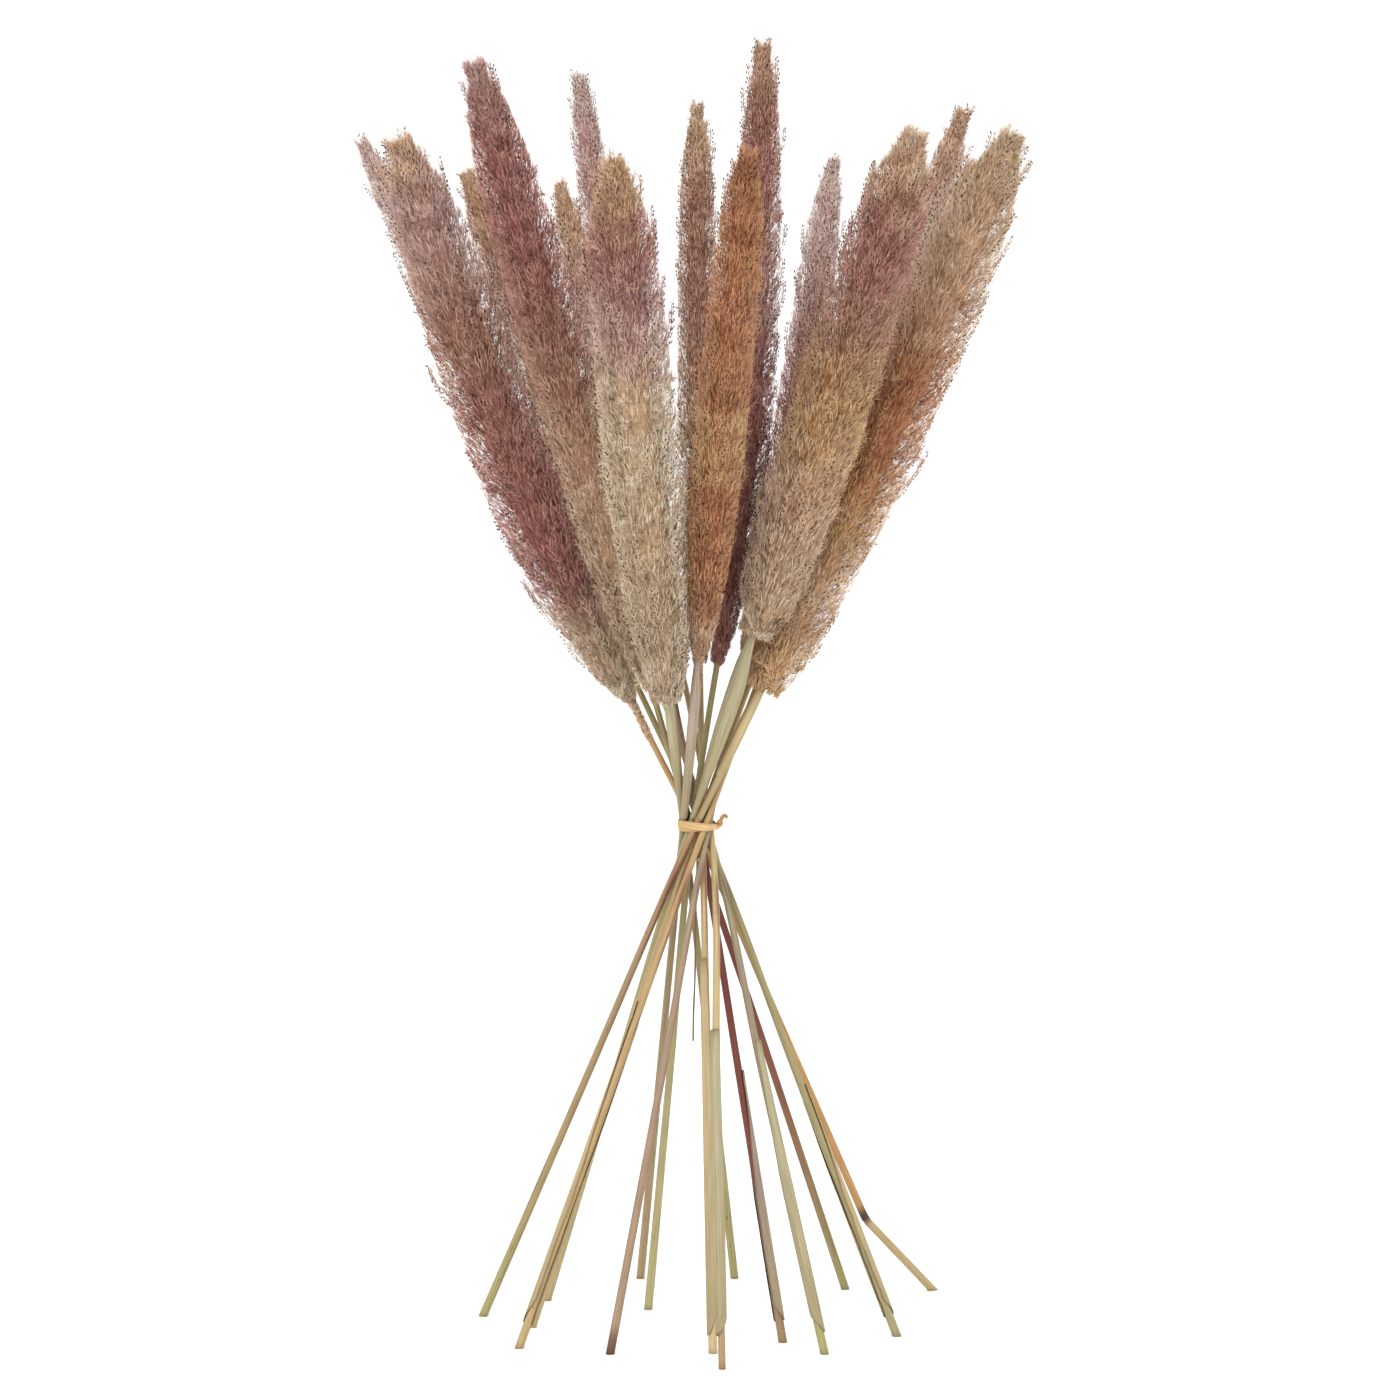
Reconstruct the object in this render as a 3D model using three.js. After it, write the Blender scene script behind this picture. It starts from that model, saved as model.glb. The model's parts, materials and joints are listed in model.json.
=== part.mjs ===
// A spiral-tied bundle of dried pampas grass that stands on its splayed cut ends.
// Millimetres, +Z up, +X to the right, -Y towards the viewer.
//
// Every stem starts at its foot on the ground, leans in to the waist, where the raffia tie holds it
// against its neighbours, and then bends gently inside its plume. All the stems turn the same way
// round the waist, so none crosses another and the splayed feet carry the bundle.
import * as THREE from 'three';

// ---- Driving dimensions ----
const CLEARANCE = 0.3; // the gap between any two neighbouring pieces
const WAIST_HEIGHT = 290; // the middle of the tie above the ground
const CULM_FOOT_RADIUS = 2.6;
const CULM_WAIST_RADIUS = 1.95;
const CULM_TOP_RADIUS = 1.6; // where the plume starts
const CULM_SIDES = 8;
const CULM_STATIONS = 16; // rings along a culm
const CULM_CUT_LENGTH = 5; // the first ring's distance from the cut foot
const KINK_LENGTH = 6; // how much of a bent stem its node takes on each side
const STRAIGHTNESS = 0.5; // above the waist: 1 goes straight on from below it, 0 straight to the tip
const HALVINGS = 40; // steps in which a place on an axis is found from its height

const SETTLE_ROUNDS = 400; // steps in which the stems close up round one another in the waist
const SETTLE_START_RADIUS = 20; // how far from the middle they start
const SETTLE_PULL = 0.015; // the share of its distance that a stem closes in each step
const SETTLE_REST = 160; // the last steps, which only push apart
const SETTLE_PUSH = 0.6; // the share of a missing gap that each of two neighbours makes up
const SETTLE_REACH = 80; // how far below and above the waist they are kept apart
const SETTLE_HALF_SAMPLES = 12; // points on each side of the waist, closest together at it
const SETTLE_EVEN = 0.25; // the share of even spacing in them: 1 would space them all alike
const SETTLE_NEAR = 3; // how many points on, along a neighbour, may be the nearest

const PLUME_SIDES = 8;
const PLUME_START_RADIUS = 2.4;
const PLUME_ROOM_SAMPLES = 90; // points along each stem that the room around a plume is measured to

const BAND_HEIGHT = 7;
const BAND_THICKNESS = 1.3;
const BAND_SIDES = 28;
const BAND_ROUND = 0.4; // how far the band's edges are eased
const BORE_LEVELS = 9; // heights inside the band at which the stems' reach is taken

const KNOT_BEARING = -24; // degrees
const KNOT_SIZE = [3.2, 4.4, 4.6]; // across the band, along it and up
const KNOT_RISE = 1.6; // its centre above the middle of the band
const KNOT_SEGMENTS = [12, 8]; // round it, and from top to bottom

const END_WIDTH = 2.2; // the knot's short curled end, a flat strip
const END_THICKNESS = 0.7;
const END_RISE = 4.6; // how far it climbs before it curls over
const END_REACH = 3.4; // how far it curls outward
const END_STEPS = 10;
// The curl's points: share of the reach, millimetres along the band, share of the rise.
const END_CURL = [[0, 0, 0], [0.2, 0.3, 0.6], [0.7, 0.6, 0.7], [1, 0.8, 0.3]];

const TAIL_RADIUS = 0.5;
const TAIL_SIDES = 8;
const TAIL_STEPS = 44;

const SHEATH_THICKNESS = 0.45;
const SHEATH_STEPS = 6;
const SHEATH_ARC_STEPS = 7;
const SHEATH_WRAP = 300; // degrees of the culm that a whole sheath covers
const SHEATH_SHOULDER = 0.35; // the share of its length where it starts to narrow
const SHEATH_SWELL = 0.8; // how much of a whole arch its looseness follows: 1 closes in at the top

// ---- Materials ----
const COLOURS = {
  culm_straw: '#c9b183',
  culm_green: '#b3b07a',
  culm_mauve: '#b09080',
  plume_tan: '#b89672',
  plume_cream: '#b7a283',
  plume_rust: '#a8724e',
  plume_plum: '#7b5350',
  plume_mauve: '#9b7271',
  sheath_green: '#a9a873',
  sheath_straw: '#c4ac7e',
  sheath_mauve: '#9b8680',
  raffia: '#d0a76c',
};
const ROUGHNESS = { culm: 0.55, plume: 0.95, sheath: 0.6, raffia: 0.7 };

// ---- The stems ----
// foot: where its cut end stands. tip: the end of its plume. plume: how far above the waist it starts,
// and its largest radius. bend: how far right and back the stem sways between the waist and the tip.
// culm and head: the colours of the stem and of its plume.
const STEMS = [
  { foot: [-126, 0], tip: [184, -25, 692], bend: [6, 0], plume: [88, 25], culm: 'straw', head: 'tan' },
  { foot: [-101, -87], tip: [163, 106, 716], bend: [2, 1], plume: [98, 16], culm: 'straw', head: 'mauve' },
  { foot: [-96, -31], tip: [165, 34, 678], bend: [0, 0], plume: [92, 17], culm: 'straw', head: 'tan' },
  { foot: [-90, 45], tip: [124, -88, 688], bend: [4, -3], plume: [120, 25], culm: 'green', head: 'tan' },
  { foot: [-49, -102], tip: [84, 134, 688], bend: [6, -1], plume: [108, 15], culm: 'mauve', head: 'mauve' },
  { foot: [-35, 111], tip: [28, -146, 674], bend: [0, 0], plume: [106, 17], culm: 'mauve', head: 'rust' },
  { foot: [-29, 19], tip: [38, -40, 742], bend: [12, -4], plume: [106, 15], culm: 'green', head: 'plum' },
  { foot: [9, -100], tip: [0, 136, 722], bend: [0, 0], plume: [102, 14], culm: 'straw', head: 'tan' },
  { foot: [14, -140], tip: [-74, 172, 744], bend: [-26, 4], plume: [110, 13], culm: 'straw', head: 'mauve' },
  { foot: [23, 111], tip: [-46, -148, 668], bend: [-1, -4], plume: [82, 25], culm: 'green', head: 'cream' },
  { foot: [49, -71], tip: [-84, 108, 672], bend: [-3, 0], plume: [98, 15], culm: 'mauve', head: 'tan' },
  { foot: [72, -102], tip: [-142, 130, 680], bend: [-16, 0], plume: [94, 17], culm: 'green', head: 'tan' },
  { foot: [90, 78], tip: [-126, -84, 728], bend: [6, -3], plume: [90, 21], culm: 'green', head: 'plum' },
  { foot: [115, -55], tip: [-203, 86, 696], bend: [-9, 3], plume: [104, 14], culm: 'straw', head: 'mauve' },
  { foot: [143, 75], kink: [101, 50, 48], tip: [-170, -66, 686], bend: [-12, -5], plume: [82, 25],
    culm: 'straw', head: 'plum' },
];

// from and to: the sheath's lower and upper ends above its base. loose: how far it stands off the
// culm at its widest. point: how much of its wrap is left at the top end. turn: where it opens.
const SHEATHS = [
  { stem: 4, base: WAIST_HEIGHT, from: 26, to: 116, loose: 2.8, point: 0.16, turn: 250, colour: 'green' },
  { stem: 6, base: WAIST_HEIGHT, from: 30, to: 102, loose: 0.6, point: 0.2, turn: 250, colour: 'mauve' },
  { stem: 10, base: WAIST_HEIGHT, from: 30, to: 78, loose: 0.8, point: 0.7, turn: 270, colour: 'green' },
  { stem: 1, base: WAIST_HEIGHT, from: 30, to: 84, loose: 0.7, point: 0.3, turn: 280, colour: 'straw' },
  { stem: 2, base: 0, from: 14, to: 190, loose: 0.2, point: 0.5, turn: 120, colour: 'straw' },
  { stem: 8, base: 0, from: 10, to: 214, loose: 0.3, point: 0.6, turn: 200, colour: 'straw' },
  { stem: 9, base: 0, from: 18, to: 176, loose: 0.3, point: 0.5, turn: 240, colour: 'green' },
  { stem: 11, base: 0, from: 12, to: 150, loose: 0.2, point: 0.4, turn: 20, colour: 'mauve' },
  { stem: 12, base: 0, from: 12, to: 168, loose: 0.3, point: 0.4, turn: 330, colour: 'green' },
  { stem: 14, base: 0, from: 12, to: 140, loose: 0.2, point: 0.5, turn: 60, colour: 'straw' },
];

// The thin loose strand hangs from the middle of the waist, which the spiral leaves open.
// Each point is right of, behind and above the middle of the tie.
const TAIL_ROUTE = [
  [0.3, -0.4, 1], [0.3, -0.4, -4], [0.2, -0.4, -10], [0.1, -0.4, -17], [0, -0.5, -24],
  [-0.2, -0.6, -31], [-0.4, -0.7, -38], [-0.6, -0.7, -45], [-0.8, -0.6, -52], [-1, -0.4, -59],
  [-1.1, -0.1, -66], [-1.1, 0.2, -73], [-1.1, 0.4, -80], [-1.2, 0.5, -87], [-1.4, 0.5, -94],
  [-1.7, 0.4, -101], [-2, 0.3, -108], [-2.2, 0.2, -115], [-2.3, 0.2, -122], [-2.3, 0.2, -127],
];

const radians = THREE.MathUtils.degToRad;

// ---- The axis of each stem, from its foot to the tip of its plume ----
function stemAxis(stem, waist) {
  const foot = new THREE.Vector3(stem.foot[0], stem.foot[1], 0);
  const tip = new THREE.Vector3(...stem.tip);
  const bottom = stem.kink ? new THREE.Vector3(...stem.kink) : foot;
  const run = waist.clone().sub(bottom);
  const straight = waist.clone().addScaledVector(run, (tip.z - waist.z) / 2 / run.z);
  const chord = waist.clone().lerp(tip, 0.5);
  const middle = chord.lerp(straight, STRAIGHTNESS);
  middle.add(new THREE.Vector3(stem.bend[0], stem.bend[1], 0));
  const lower = bottom.clone().lerp(waist, 0.5);
  // A bent stem is straight on both sides of its node, which takes the whole bend.
  const above = bottom.clone().lerp(waist, KINK_LENGTH / bottom.distanceTo(waist));
  const below = bottom.clone().lerp(foot, KINK_LENGTH / Math.max(KINK_LENGTH, bottom.distanceTo(foot)));
  const points = stem.kink
    ? [foot, below, bottom, above, lower, waist, middle, tip]
    : [foot, lower, waist, middle, tip];
  return new THREE.CatmullRomCurve3(points, false, 'centripetal');
}

// Where along an axis, from 0 to 1, the stem reaches a height.
function heightAt(axis, z) {
  let low = 0;
  let high = 1;
  for (let i = 0; i < HALVINGS; i += 1) {
    const mid = (low + high) / 2;
    if (axis.getPoint(mid).z < z) low = mid;
    else high = mid;
  }
  return low;
}

// The point of an axis and two directions across it, for a share of the way between two places on it.
function placeOn(axis, from, to) {
  return (share) => {
    const at = THREE.MathUtils.lerp(from, to, THREE.MathUtils.clamp(share, 0, 1));
    const centre = axis.getPoint(at);
    const along = axis.getTangent(at).normalize();
    const right = new THREE.Vector3(1, 0, 0);
    right.addScaledVector(along, -right.dot(along)).normalize();
    return { centre, along, right, back: along.clone().cross(right) };
  };
}

function culmRadius(z) {
  const { lerp } = THREE.MathUtils;
  if (z < WAIST_HEIGHT) return lerp(CULM_FOOT_RADIUS, CULM_WAIST_RADIUS, z / WAIST_HEIGHT);
  return lerp(CULM_WAIST_RADIUS, CULM_TOP_RADIUS, Math.min(1, (z - WAIST_HEIGHT) / WAIST_HEIGHT));
}

// ---- The waist ----
// Each stem starts a quarter turn on from its foot, and they close in on the middle of the waist
// together. Where two come too near each other, both give way. The middle stays open for the strand.
function settledWaists() {
  const waists = STEMS.map(({ foot, kink = foot }) => {
    const bearing = Math.atan2(kink[1], kink[0]) + Math.PI / 2;
    const start = new THREE.Vector3(Math.cos(bearing), Math.sin(bearing), 0);
    return start.multiplyScalar(SETTLE_START_RADIUS).setZ(WAIST_HEIGHT);
  });
  const segment = new THREE.Line3();
  const closest = new THREE.Vector3();
  const apart = new THREE.Vector3();
  for (let round = 0; round < SETTLE_ROUNDS; round += 1) {
    const closing = round < SETTLE_ROUNDS - SETTLE_REST;
    if (closing) waists.forEach((waist) => waist.multiplyScalar(1 - SETTLE_PULL).setZ(WAIST_HEIGHT));
    const lines = STEMS.map((stem, index) => {
      const axis = stemAxis(stem, waists[index]);
      const low = heightAt(axis, WAIST_HEIGHT - SETTLE_REACH);
      const high = heightAt(axis, WAIST_HEIGHT + SETTLE_REACH);
      const line = [];
      for (let i = -SETTLE_HALF_SAMPLES; i <= SETTLE_HALF_SAMPLES; i += 1) {
        const way = i / SETTLE_HALF_SAMPLES;
        const crowded = SETTLE_EVEN * way + (1 - SETTLE_EVEN) * way ** 3;
        line.push(axis.getPoint(THREE.MathUtils.lerp(low, high, (1 + crowded) / 2)));
      }
      return line;
    });
    lines.forEach((line, index) => {
      line.forEach((point) => {
        const reach = Math.hypot(point.x, point.y);
        const missing = culmRadius(point.z) + TAIL_RADIUS + CLEARANCE - reach;
        if (missing > 0 && point.z < WAIST_HEIGHT + TAIL_ROUTE[0][2]) {
          const share = (SETTLE_PUSH * missing) / Math.max(reach, TAIL_RADIUS);
          waists[index].add(apart.set(point.x, point.y, 0).multiplyScalar(share));
        }
      });
      lines.slice(index + 1).forEach((neighbour, offset) => {
        let tightest = CLEARANCE;
        line.forEach((point, level) => {
          const first = Math.max(1, level - SETTLE_NEAR);
          const last = Math.min(neighbour.length - 1, level + SETTLE_NEAR);
          for (let i = first; i <= last; i += 1) {
            segment.set(neighbour[i - 1], neighbour[i]).closestPointToPoint(point, true, closest);
            const gap = closest.distanceTo(point) - culmRadius(point.z) - culmRadius(closest.z);
            if (gap < tightest) {
              tightest = gap;
              apart.copy(point).sub(closest).setZ(0).normalize();
            }
          }
        });
        if (tightest < CLEARANCE) {
          apart.multiplyScalar((CLEARANCE - tightest) * SETTLE_PUSH);
          waists[index].add(apart);
          waists[index + 1 + offset].sub(apart);
        }
      });
    });
  }
  return waists;
}

const waists = settledWaists();
const axes = STEMS.map((stem, index) => stemAxis(stem, waists[index]));

// ---- The room around a stem: half the way to the nearest other stem ----
const samples = axes.map((axis) => axis.getPoints(PLUME_ROOM_SAMPLES));

function roomAround(index, point) {
  let nearest = Infinity;
  const segment = new THREE.Line3();
  const closest = new THREE.Vector3();
  samples.forEach((line, other) => {
    if (other === index) return;
    for (let i = 1; i < line.length; i += 1) {
      segment.set(line[i - 1], line[i]).closestPointToPoint(point, true, closest);
      nearest = Math.min(nearest, closest.distanceTo(point));
    }
  });
  return nearest / 2 - CLEARANCE;
}

// ---- Shapes ----
// A turned shape bent onto an axis: its profile is [radius, share of the way along].
function turnedAlong(place, profile, sides) {
  const points = profile.map(([radius, share]) => new THREE.Vector2(radius, share));
  const geometry = new THREE.LatheGeometry(points, sides);
  const position = geometry.getAttribute('position');
  for (let i = 0; i < position.count; i += 1) {
    const { centre, right, along } = place(position.getY(i));
    const forward = right.clone().cross(along);
    centre.addScaledVector(right, position.getX(i)).addScaledVector(forward, position.getZ(i));
    position.setXYZ(i, centre.x, centre.y, centre.z);
  }
  return geometry;
}

function levelCut(geometry, place) {
  const { along } = place(0);
  const position = geometry.getAttribute('position');
  for (let i = 0; i < position.count; i += 1) {
    const height = position.getZ(i);
    if (height > CULM_FOOT_RADIUS) continue;
    position.setX(i, position.getX(i) - (along.x * height) / along.z);
    position.setY(i, position.getY(i) - (along.y * height) / along.z);
    position.setZ(i, 0);
  }
}

function culm(stem, axis) {
  const top = heightAt(axis, WAIST_HEIGHT + stem.plume[0]);
  const place = placeOn(axis, 0, top);
  const first = heightAt(axis, CULM_CUT_LENGTH) / top;
  const shares = [0, first];
  for (let i = 1; i <= CULM_STATIONS; i += 1) shares.push(first + ((1 - first) * i) / CULM_STATIONS);
  const profile = shares.map((share) => [culmRadius(place(share).centre.z), share]);
  const geometry = turnedAlong(place, [[0, 0], ...profile, [0, 1]], CULM_SIDES);
  levelCut(geometry, place);
  return geometry;
}

// The plume's outline: [share of its length, share of its largest radius].
const PLUME_OUTLINE = [
  [0.04, 0.42], [0.1, 0.6], [0.2, 0.8], [0.32, 0.94], [0.46, 1], [0.6, 0.98],
  [0.74, 0.88], [0.86, 0.72], [0.94, 0.5], [0.985, 0.28],
];

function plume(stem, axis, index) {
  const start = heightAt(axis, WAIST_HEIGHT + stem.plume[0] + CLEARANCE);
  const place = placeOn(axis, start, 1);
  const stations = PLUME_OUTLINE.map(([share, width]) => {
    const room = roomAround(index, place(share).centre);
    return [Math.min(stem.plume[1] * width, room), share];
  });
  const startRadius = Math.min(PLUME_START_RADIUS, roomAround(index, place(0).centre));
  return turnedAlong(place, [[0, 0], [startRadius, 0], ...stations, [0, 1]], PLUME_SIDES);
}

// A sheath's section is a C, drawn from radius 1 to 2, and bent onto the culm it wraps.
function sheath({ stem, base, from, to, loose, point, turn }) {
  const wrap = radians(SHEATH_WRAP);
  const section = new THREE.Shape();
  section.absarc(0, 0, 2, -wrap / 2, wrap / 2, false);
  section.absarc(0, 0, 1, wrap / 2, -wrap / 2, true);
  const geometry = new THREE.ExtrudeGeometry(section, {
    depth: 1, steps: SHEATH_STEPS, curveSegments: SHEATH_ARC_STEPS, bevelEnabled: false,
  });
  const index = stem - 1;
  const axis = axes[index];
  const place = placeOn(axis, heightAt(axis, base + from), heightAt(axis, base + to));
  const position = geometry.getAttribute('position');
  for (let i = 0; i < position.count; i += 1) {
    const share = position.getZ(i);
    const { centre, right, back } = place(share);
    const inside = culmRadius(centre.z) + CLEARANCE + loose * Math.sin(Math.PI * SHEATH_SWELL * share);
    const room = roomAround(index, centre) - SHEATH_THICKNESS;
    const radius = Math.min(inside, room)
      + SHEATH_THICKNESS * (Math.hypot(position.getX(i), position.getY(i)) - 1);
    const narrowing = THREE.MathUtils.smoothstep(share, SHEATH_SHOULDER, 1);
    const spread = Math.atan2(position.getY(i), position.getX(i));
    const angle = radians(turn) + spread * THREE.MathUtils.lerp(1, point, narrowing);
    centre.addScaledVector(right, radius * Math.cos(angle));
    centre.addScaledVector(back, radius * Math.sin(angle));
    position.setXYZ(i, centre.x, centre.y, centre.z);
  }
  return geometry;
}

// ---- The raffia tie ----
// The band fits round the stems: its bore is the furthest that any of them reaches at its height.
function bandBore() {
  let reach = 0;
  axes.forEach((axis) => {
    for (let level = 0; level < BORE_LEVELS; level += 1) {
      const rise = (level / (BORE_LEVELS - 1) - 0.5) * BAND_HEIGHT;
      const at = heightAt(axis, WAIST_HEIGHT + rise);
      const point = axis.getPoint(at);
      const across = culmRadius(point.z) / axis.getTangent(at).normalize().z;
      reach = Math.max(reach, Math.hypot(point.x, point.y) + across);
    }
  });
  // The band's bore is a polygon, so its flats come nearer than its corners.
  return (reach + CLEARANCE) / Math.cos(Math.PI / BAND_SIDES);
}

const bore = bandBore();
const bandRadius = bore + BAND_THICKNESS;

function band() {
  const half = BAND_HEIGHT / 2;
  const eased = half - BAND_ROUND;
  const profile = [
    [bore, -half], [bandRadius - BAND_ROUND, -half], [bandRadius, -eased], [bandRadius, eased],
    [bandRadius - BAND_ROUND, half], [bore, half], [bore, -half],
  ];
  const points = profile.map(([radius, height]) => new THREE.Vector2(radius, height));
  const geometry = new THREE.LatheGeometry(points, BAND_SIDES);
  geometry.rotateX(Math.PI / 2);
  geometry.translate(0, 0, WAIST_HEIGHT);
  return geometry;
}

// Turns a piece drawn with +X outward to the knot's bearing, its inner side at the band's surface.
function atKnot(geometry) {
  geometry.rotateZ(radians(KNOT_BEARING));
  geometry.translate(0, 0, WAIST_HEIGHT + KNOT_RISE);
  return geometry;
}

const knotCentre = bandRadius + CLEARANCE + KNOT_SIZE[0] / 2;

function knot() {
  const geometry = new THREE.SphereGeometry(0.5, ...KNOT_SEGMENTS);
  geometry.scale(...KNOT_SIZE);
  geometry.translate(knotCentre, 0, 0);
  return atKnot(geometry);
}

function knotEnd() {
  const start = KNOT_SIZE[2] / 2 + CLEARANCE;
  const path = new THREE.CatmullRomCurve3(END_CURL.map(([out, along, up]) => (
    new THREE.Vector3(knotCentre + out * END_REACH, along, start + up * END_RISE)
  )));
  const section = new THREE.Shape();
  section.moveTo(-END_THICKNESS / 2, -END_WIDTH / 2);
  section.lineTo(END_THICKNESS / 2, -END_WIDTH / 2);
  section.lineTo(END_THICKNESS / 2, END_WIDTH / 2);
  section.lineTo(-END_THICKNESS / 2, END_WIDTH / 2);
  section.closePath();
  const extruded = { steps: END_STEPS, bevelEnabled: false, extrudePath: path };
  return atKnot(new THREE.ExtrudeGeometry(section, extruded));
}

function tail() {
  const path = new THREE.CatmullRomCurve3(TAIL_ROUTE.map(([x, y, z]) => (
    new THREE.Vector3(x, y, WAIST_HEIGHT + z)
  )));
  const section = new THREE.Shape();
  for (let i = 0; i < TAIL_SIDES; i += 1) {
    const angle = (i * 2 * Math.PI) / TAIL_SIDES;
    const x = TAIL_RADIUS * Math.cos(angle);
    const y = TAIL_RADIUS * Math.sin(angle);
    if (i === 0) section.moveTo(x, y);
    else section.lineTo(x, y);
  }
  section.closePath();
  return new THREE.ExtrudeGeometry(section, { steps: TAIL_STEPS, bevelEnabled: false, extrudePath: path });
}

// ---- The bundle ----
const bundle = new THREE.Group();

function add(name, geometry, colour) {
  const kind = colour.split('_')[0];
  const material = new THREE.MeshStandardMaterial({
    color: COLOURS[colour], roughness: ROUGHNESS[kind], metalness: 0,
  });
  const mesh = new THREE.Mesh(geometry, material);
  mesh.name = name;
  bundle.add(mesh);
}

const twoDigits = (number) => String(number).padStart(2, '0');

STEMS.forEach((stem, index) => {
  const label = twoDigits(index + 1);
  add(`stem_${label}`, culm(stem, axes[index]), `culm_${stem.culm}`);
  add(`plume_${label}`, plume(stem, axes[index], index), `plume_${stem.head}`);
});
SHEATHS.forEach((piece) => {
  add(`sheath_${twoDigits(piece.stem)}`, sheath(piece), `sheath_${piece.colour}`);
});
add('tie_band', band(), 'raffia');
add('tie_knot', knot(), 'raffia');
add('tie_end', knotEnd(), 'raffia');
add('tie_tail', tail(), 'raffia');

// The origin is on the ground, under the middle of the bundle's box.
const box = new THREE.Box3().setFromObject(bundle);
bundle.children.forEach((mesh) => {
  mesh.position.set(-(box.min.x + box.max.x) / 2, -(box.min.y + box.max.y) / 2, 0);
});

export default bundle;
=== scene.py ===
# %% [markdown]
# # A sheaf of dried pampas grass
# Fifteen dried stems are gathered in a spiral, tied at the waist with raffia and cut level, so that
# they stand on their own splayed feet. Above the tie each one carries a feathery plume.
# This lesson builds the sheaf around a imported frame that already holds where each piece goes:
# the stems, the outlines of the plumes, the leaf sheaths and the tie.

# %% Load the frame
import json
import math
from collections import namedtuple

import bpy
import numpy as np
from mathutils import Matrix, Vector

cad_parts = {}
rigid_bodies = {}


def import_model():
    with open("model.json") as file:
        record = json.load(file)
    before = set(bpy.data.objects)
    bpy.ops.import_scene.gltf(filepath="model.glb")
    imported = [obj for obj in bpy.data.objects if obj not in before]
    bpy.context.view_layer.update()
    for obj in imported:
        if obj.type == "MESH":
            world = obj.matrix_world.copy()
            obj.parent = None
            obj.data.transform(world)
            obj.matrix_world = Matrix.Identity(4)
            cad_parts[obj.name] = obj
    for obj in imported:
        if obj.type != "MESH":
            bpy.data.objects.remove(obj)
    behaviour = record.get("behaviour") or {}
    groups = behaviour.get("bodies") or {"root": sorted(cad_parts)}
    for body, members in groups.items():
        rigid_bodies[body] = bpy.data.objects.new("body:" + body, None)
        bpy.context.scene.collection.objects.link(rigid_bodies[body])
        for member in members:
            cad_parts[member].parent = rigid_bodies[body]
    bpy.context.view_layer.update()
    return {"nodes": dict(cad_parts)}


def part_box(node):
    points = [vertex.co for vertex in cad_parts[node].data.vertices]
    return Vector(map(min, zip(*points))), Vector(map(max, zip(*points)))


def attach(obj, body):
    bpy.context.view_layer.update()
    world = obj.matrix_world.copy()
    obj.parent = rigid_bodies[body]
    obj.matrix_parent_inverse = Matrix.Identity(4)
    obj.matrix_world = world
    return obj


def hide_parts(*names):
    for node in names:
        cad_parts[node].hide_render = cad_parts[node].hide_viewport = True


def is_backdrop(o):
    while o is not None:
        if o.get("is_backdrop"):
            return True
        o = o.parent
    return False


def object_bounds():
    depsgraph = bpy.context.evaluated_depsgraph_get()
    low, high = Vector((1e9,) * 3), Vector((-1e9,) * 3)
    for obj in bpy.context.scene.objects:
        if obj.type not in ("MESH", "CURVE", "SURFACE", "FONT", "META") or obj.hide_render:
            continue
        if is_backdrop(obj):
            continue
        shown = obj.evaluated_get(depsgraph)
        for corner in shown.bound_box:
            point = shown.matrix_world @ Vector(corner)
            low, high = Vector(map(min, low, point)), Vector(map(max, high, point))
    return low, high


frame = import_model()
MM = 0.001
print("frame holds", len(frame["nodes"]), "nodes")


# %% [markdown]
# ## Camera, floor and light
# The sheaf is seen from 2.4 m away with a long lens, a little from above, so the stems keep their
# lengths and hardly converge. The tie is the natural middle: the camera is placed from it.
# Dried grass has no gloss worth a hard light. A bright pale room on every side and one large soft
# lamp in front show the silk of the plumes as it looks on a table near a window.

# %% Camera
tie_low, tie_high = (Vector(corner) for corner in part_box("tie_band"))
tie = (tie_low + tie_high) / 2

CAMERA_DISTANCE = 2400 * MM
CAMERA_HEIGHT = 510 * MM
CAMERA_ASIDE = 1.7 * MM
CAMERA_PITCH = math.radians(3.5)
camera = bpy.data.objects.new("camera", bpy.data.cameras.new("camera"))
camera.data.lens = 106
camera.data.sensor_width = 36
camera.location = (tie.x + CAMERA_ASIDE, tie.y - CAMERA_DISTANCE, CAMERA_HEIGHT)
camera.rotation_euler = (math.pi / 2 - CAMERA_PITCH, 0, 0)
bpy.context.collection.objects.link(camera)
bpy.context.scene.camera = camera
bpy.context.scene.view_settings.view_transform = "Standard"
print("camera at", [round(v, 3) for v in camera.location])


# %% Helpers for materials
def linear(hex_colour):
    """An sRGB hex colour as the linear RGBA that Blender's shaders expect."""
    channels = [int(hex_colour[i:i + 2], 16) / 255 for i in (1, 3, 5)]
    return [c / 12.92 if c <= 0.04045 else ((c + 0.055) / 1.055) ** 2.4 for c in channels] + [1]


def add_node(tree, kind, inputs=(), **settings):
    """Adds a node with its settings. Its inputs go by name or number, or as a list in order.

    An input that is given as a socket is linked to it.
    """
    made = tree.nodes.new(kind)
    for name, value in settings.items():
        setattr(made, name, value)
    for name, value in inputs.items() if isinstance(inputs, dict) else enumerate(inputs):
        if isinstance(value, bpy.types.NodeSocket):
            tree.links.new(value, made.inputs[name])
        else:
            made.inputs[name].default_value = value
    return made


def set_stops(ramp, stops):
    """Gives a colour ramp its stops: (position, hex colour), in order."""
    elements = ramp.color_ramp.elements
    while len(elements) < len(stops):
        elements.new(1)
    for element, (position, colour) in zip(elements, stops):
        element.position = position
        element.color = linear(colour)
    return ramp.outputs["Color"]


def new_material(name, roughness, ior):
    """A material of that name, its node tree and its Principled shader."""
    material = bpy.data.materials.new(name)
    material.use_nodes = True
    shader = material.node_tree.nodes["Principled BSDF"]
    shader.inputs["Roughness"].default_value = roughness
    shader.inputs["IOR"].default_value = ior
    return material, material.node_tree, shader


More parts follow.
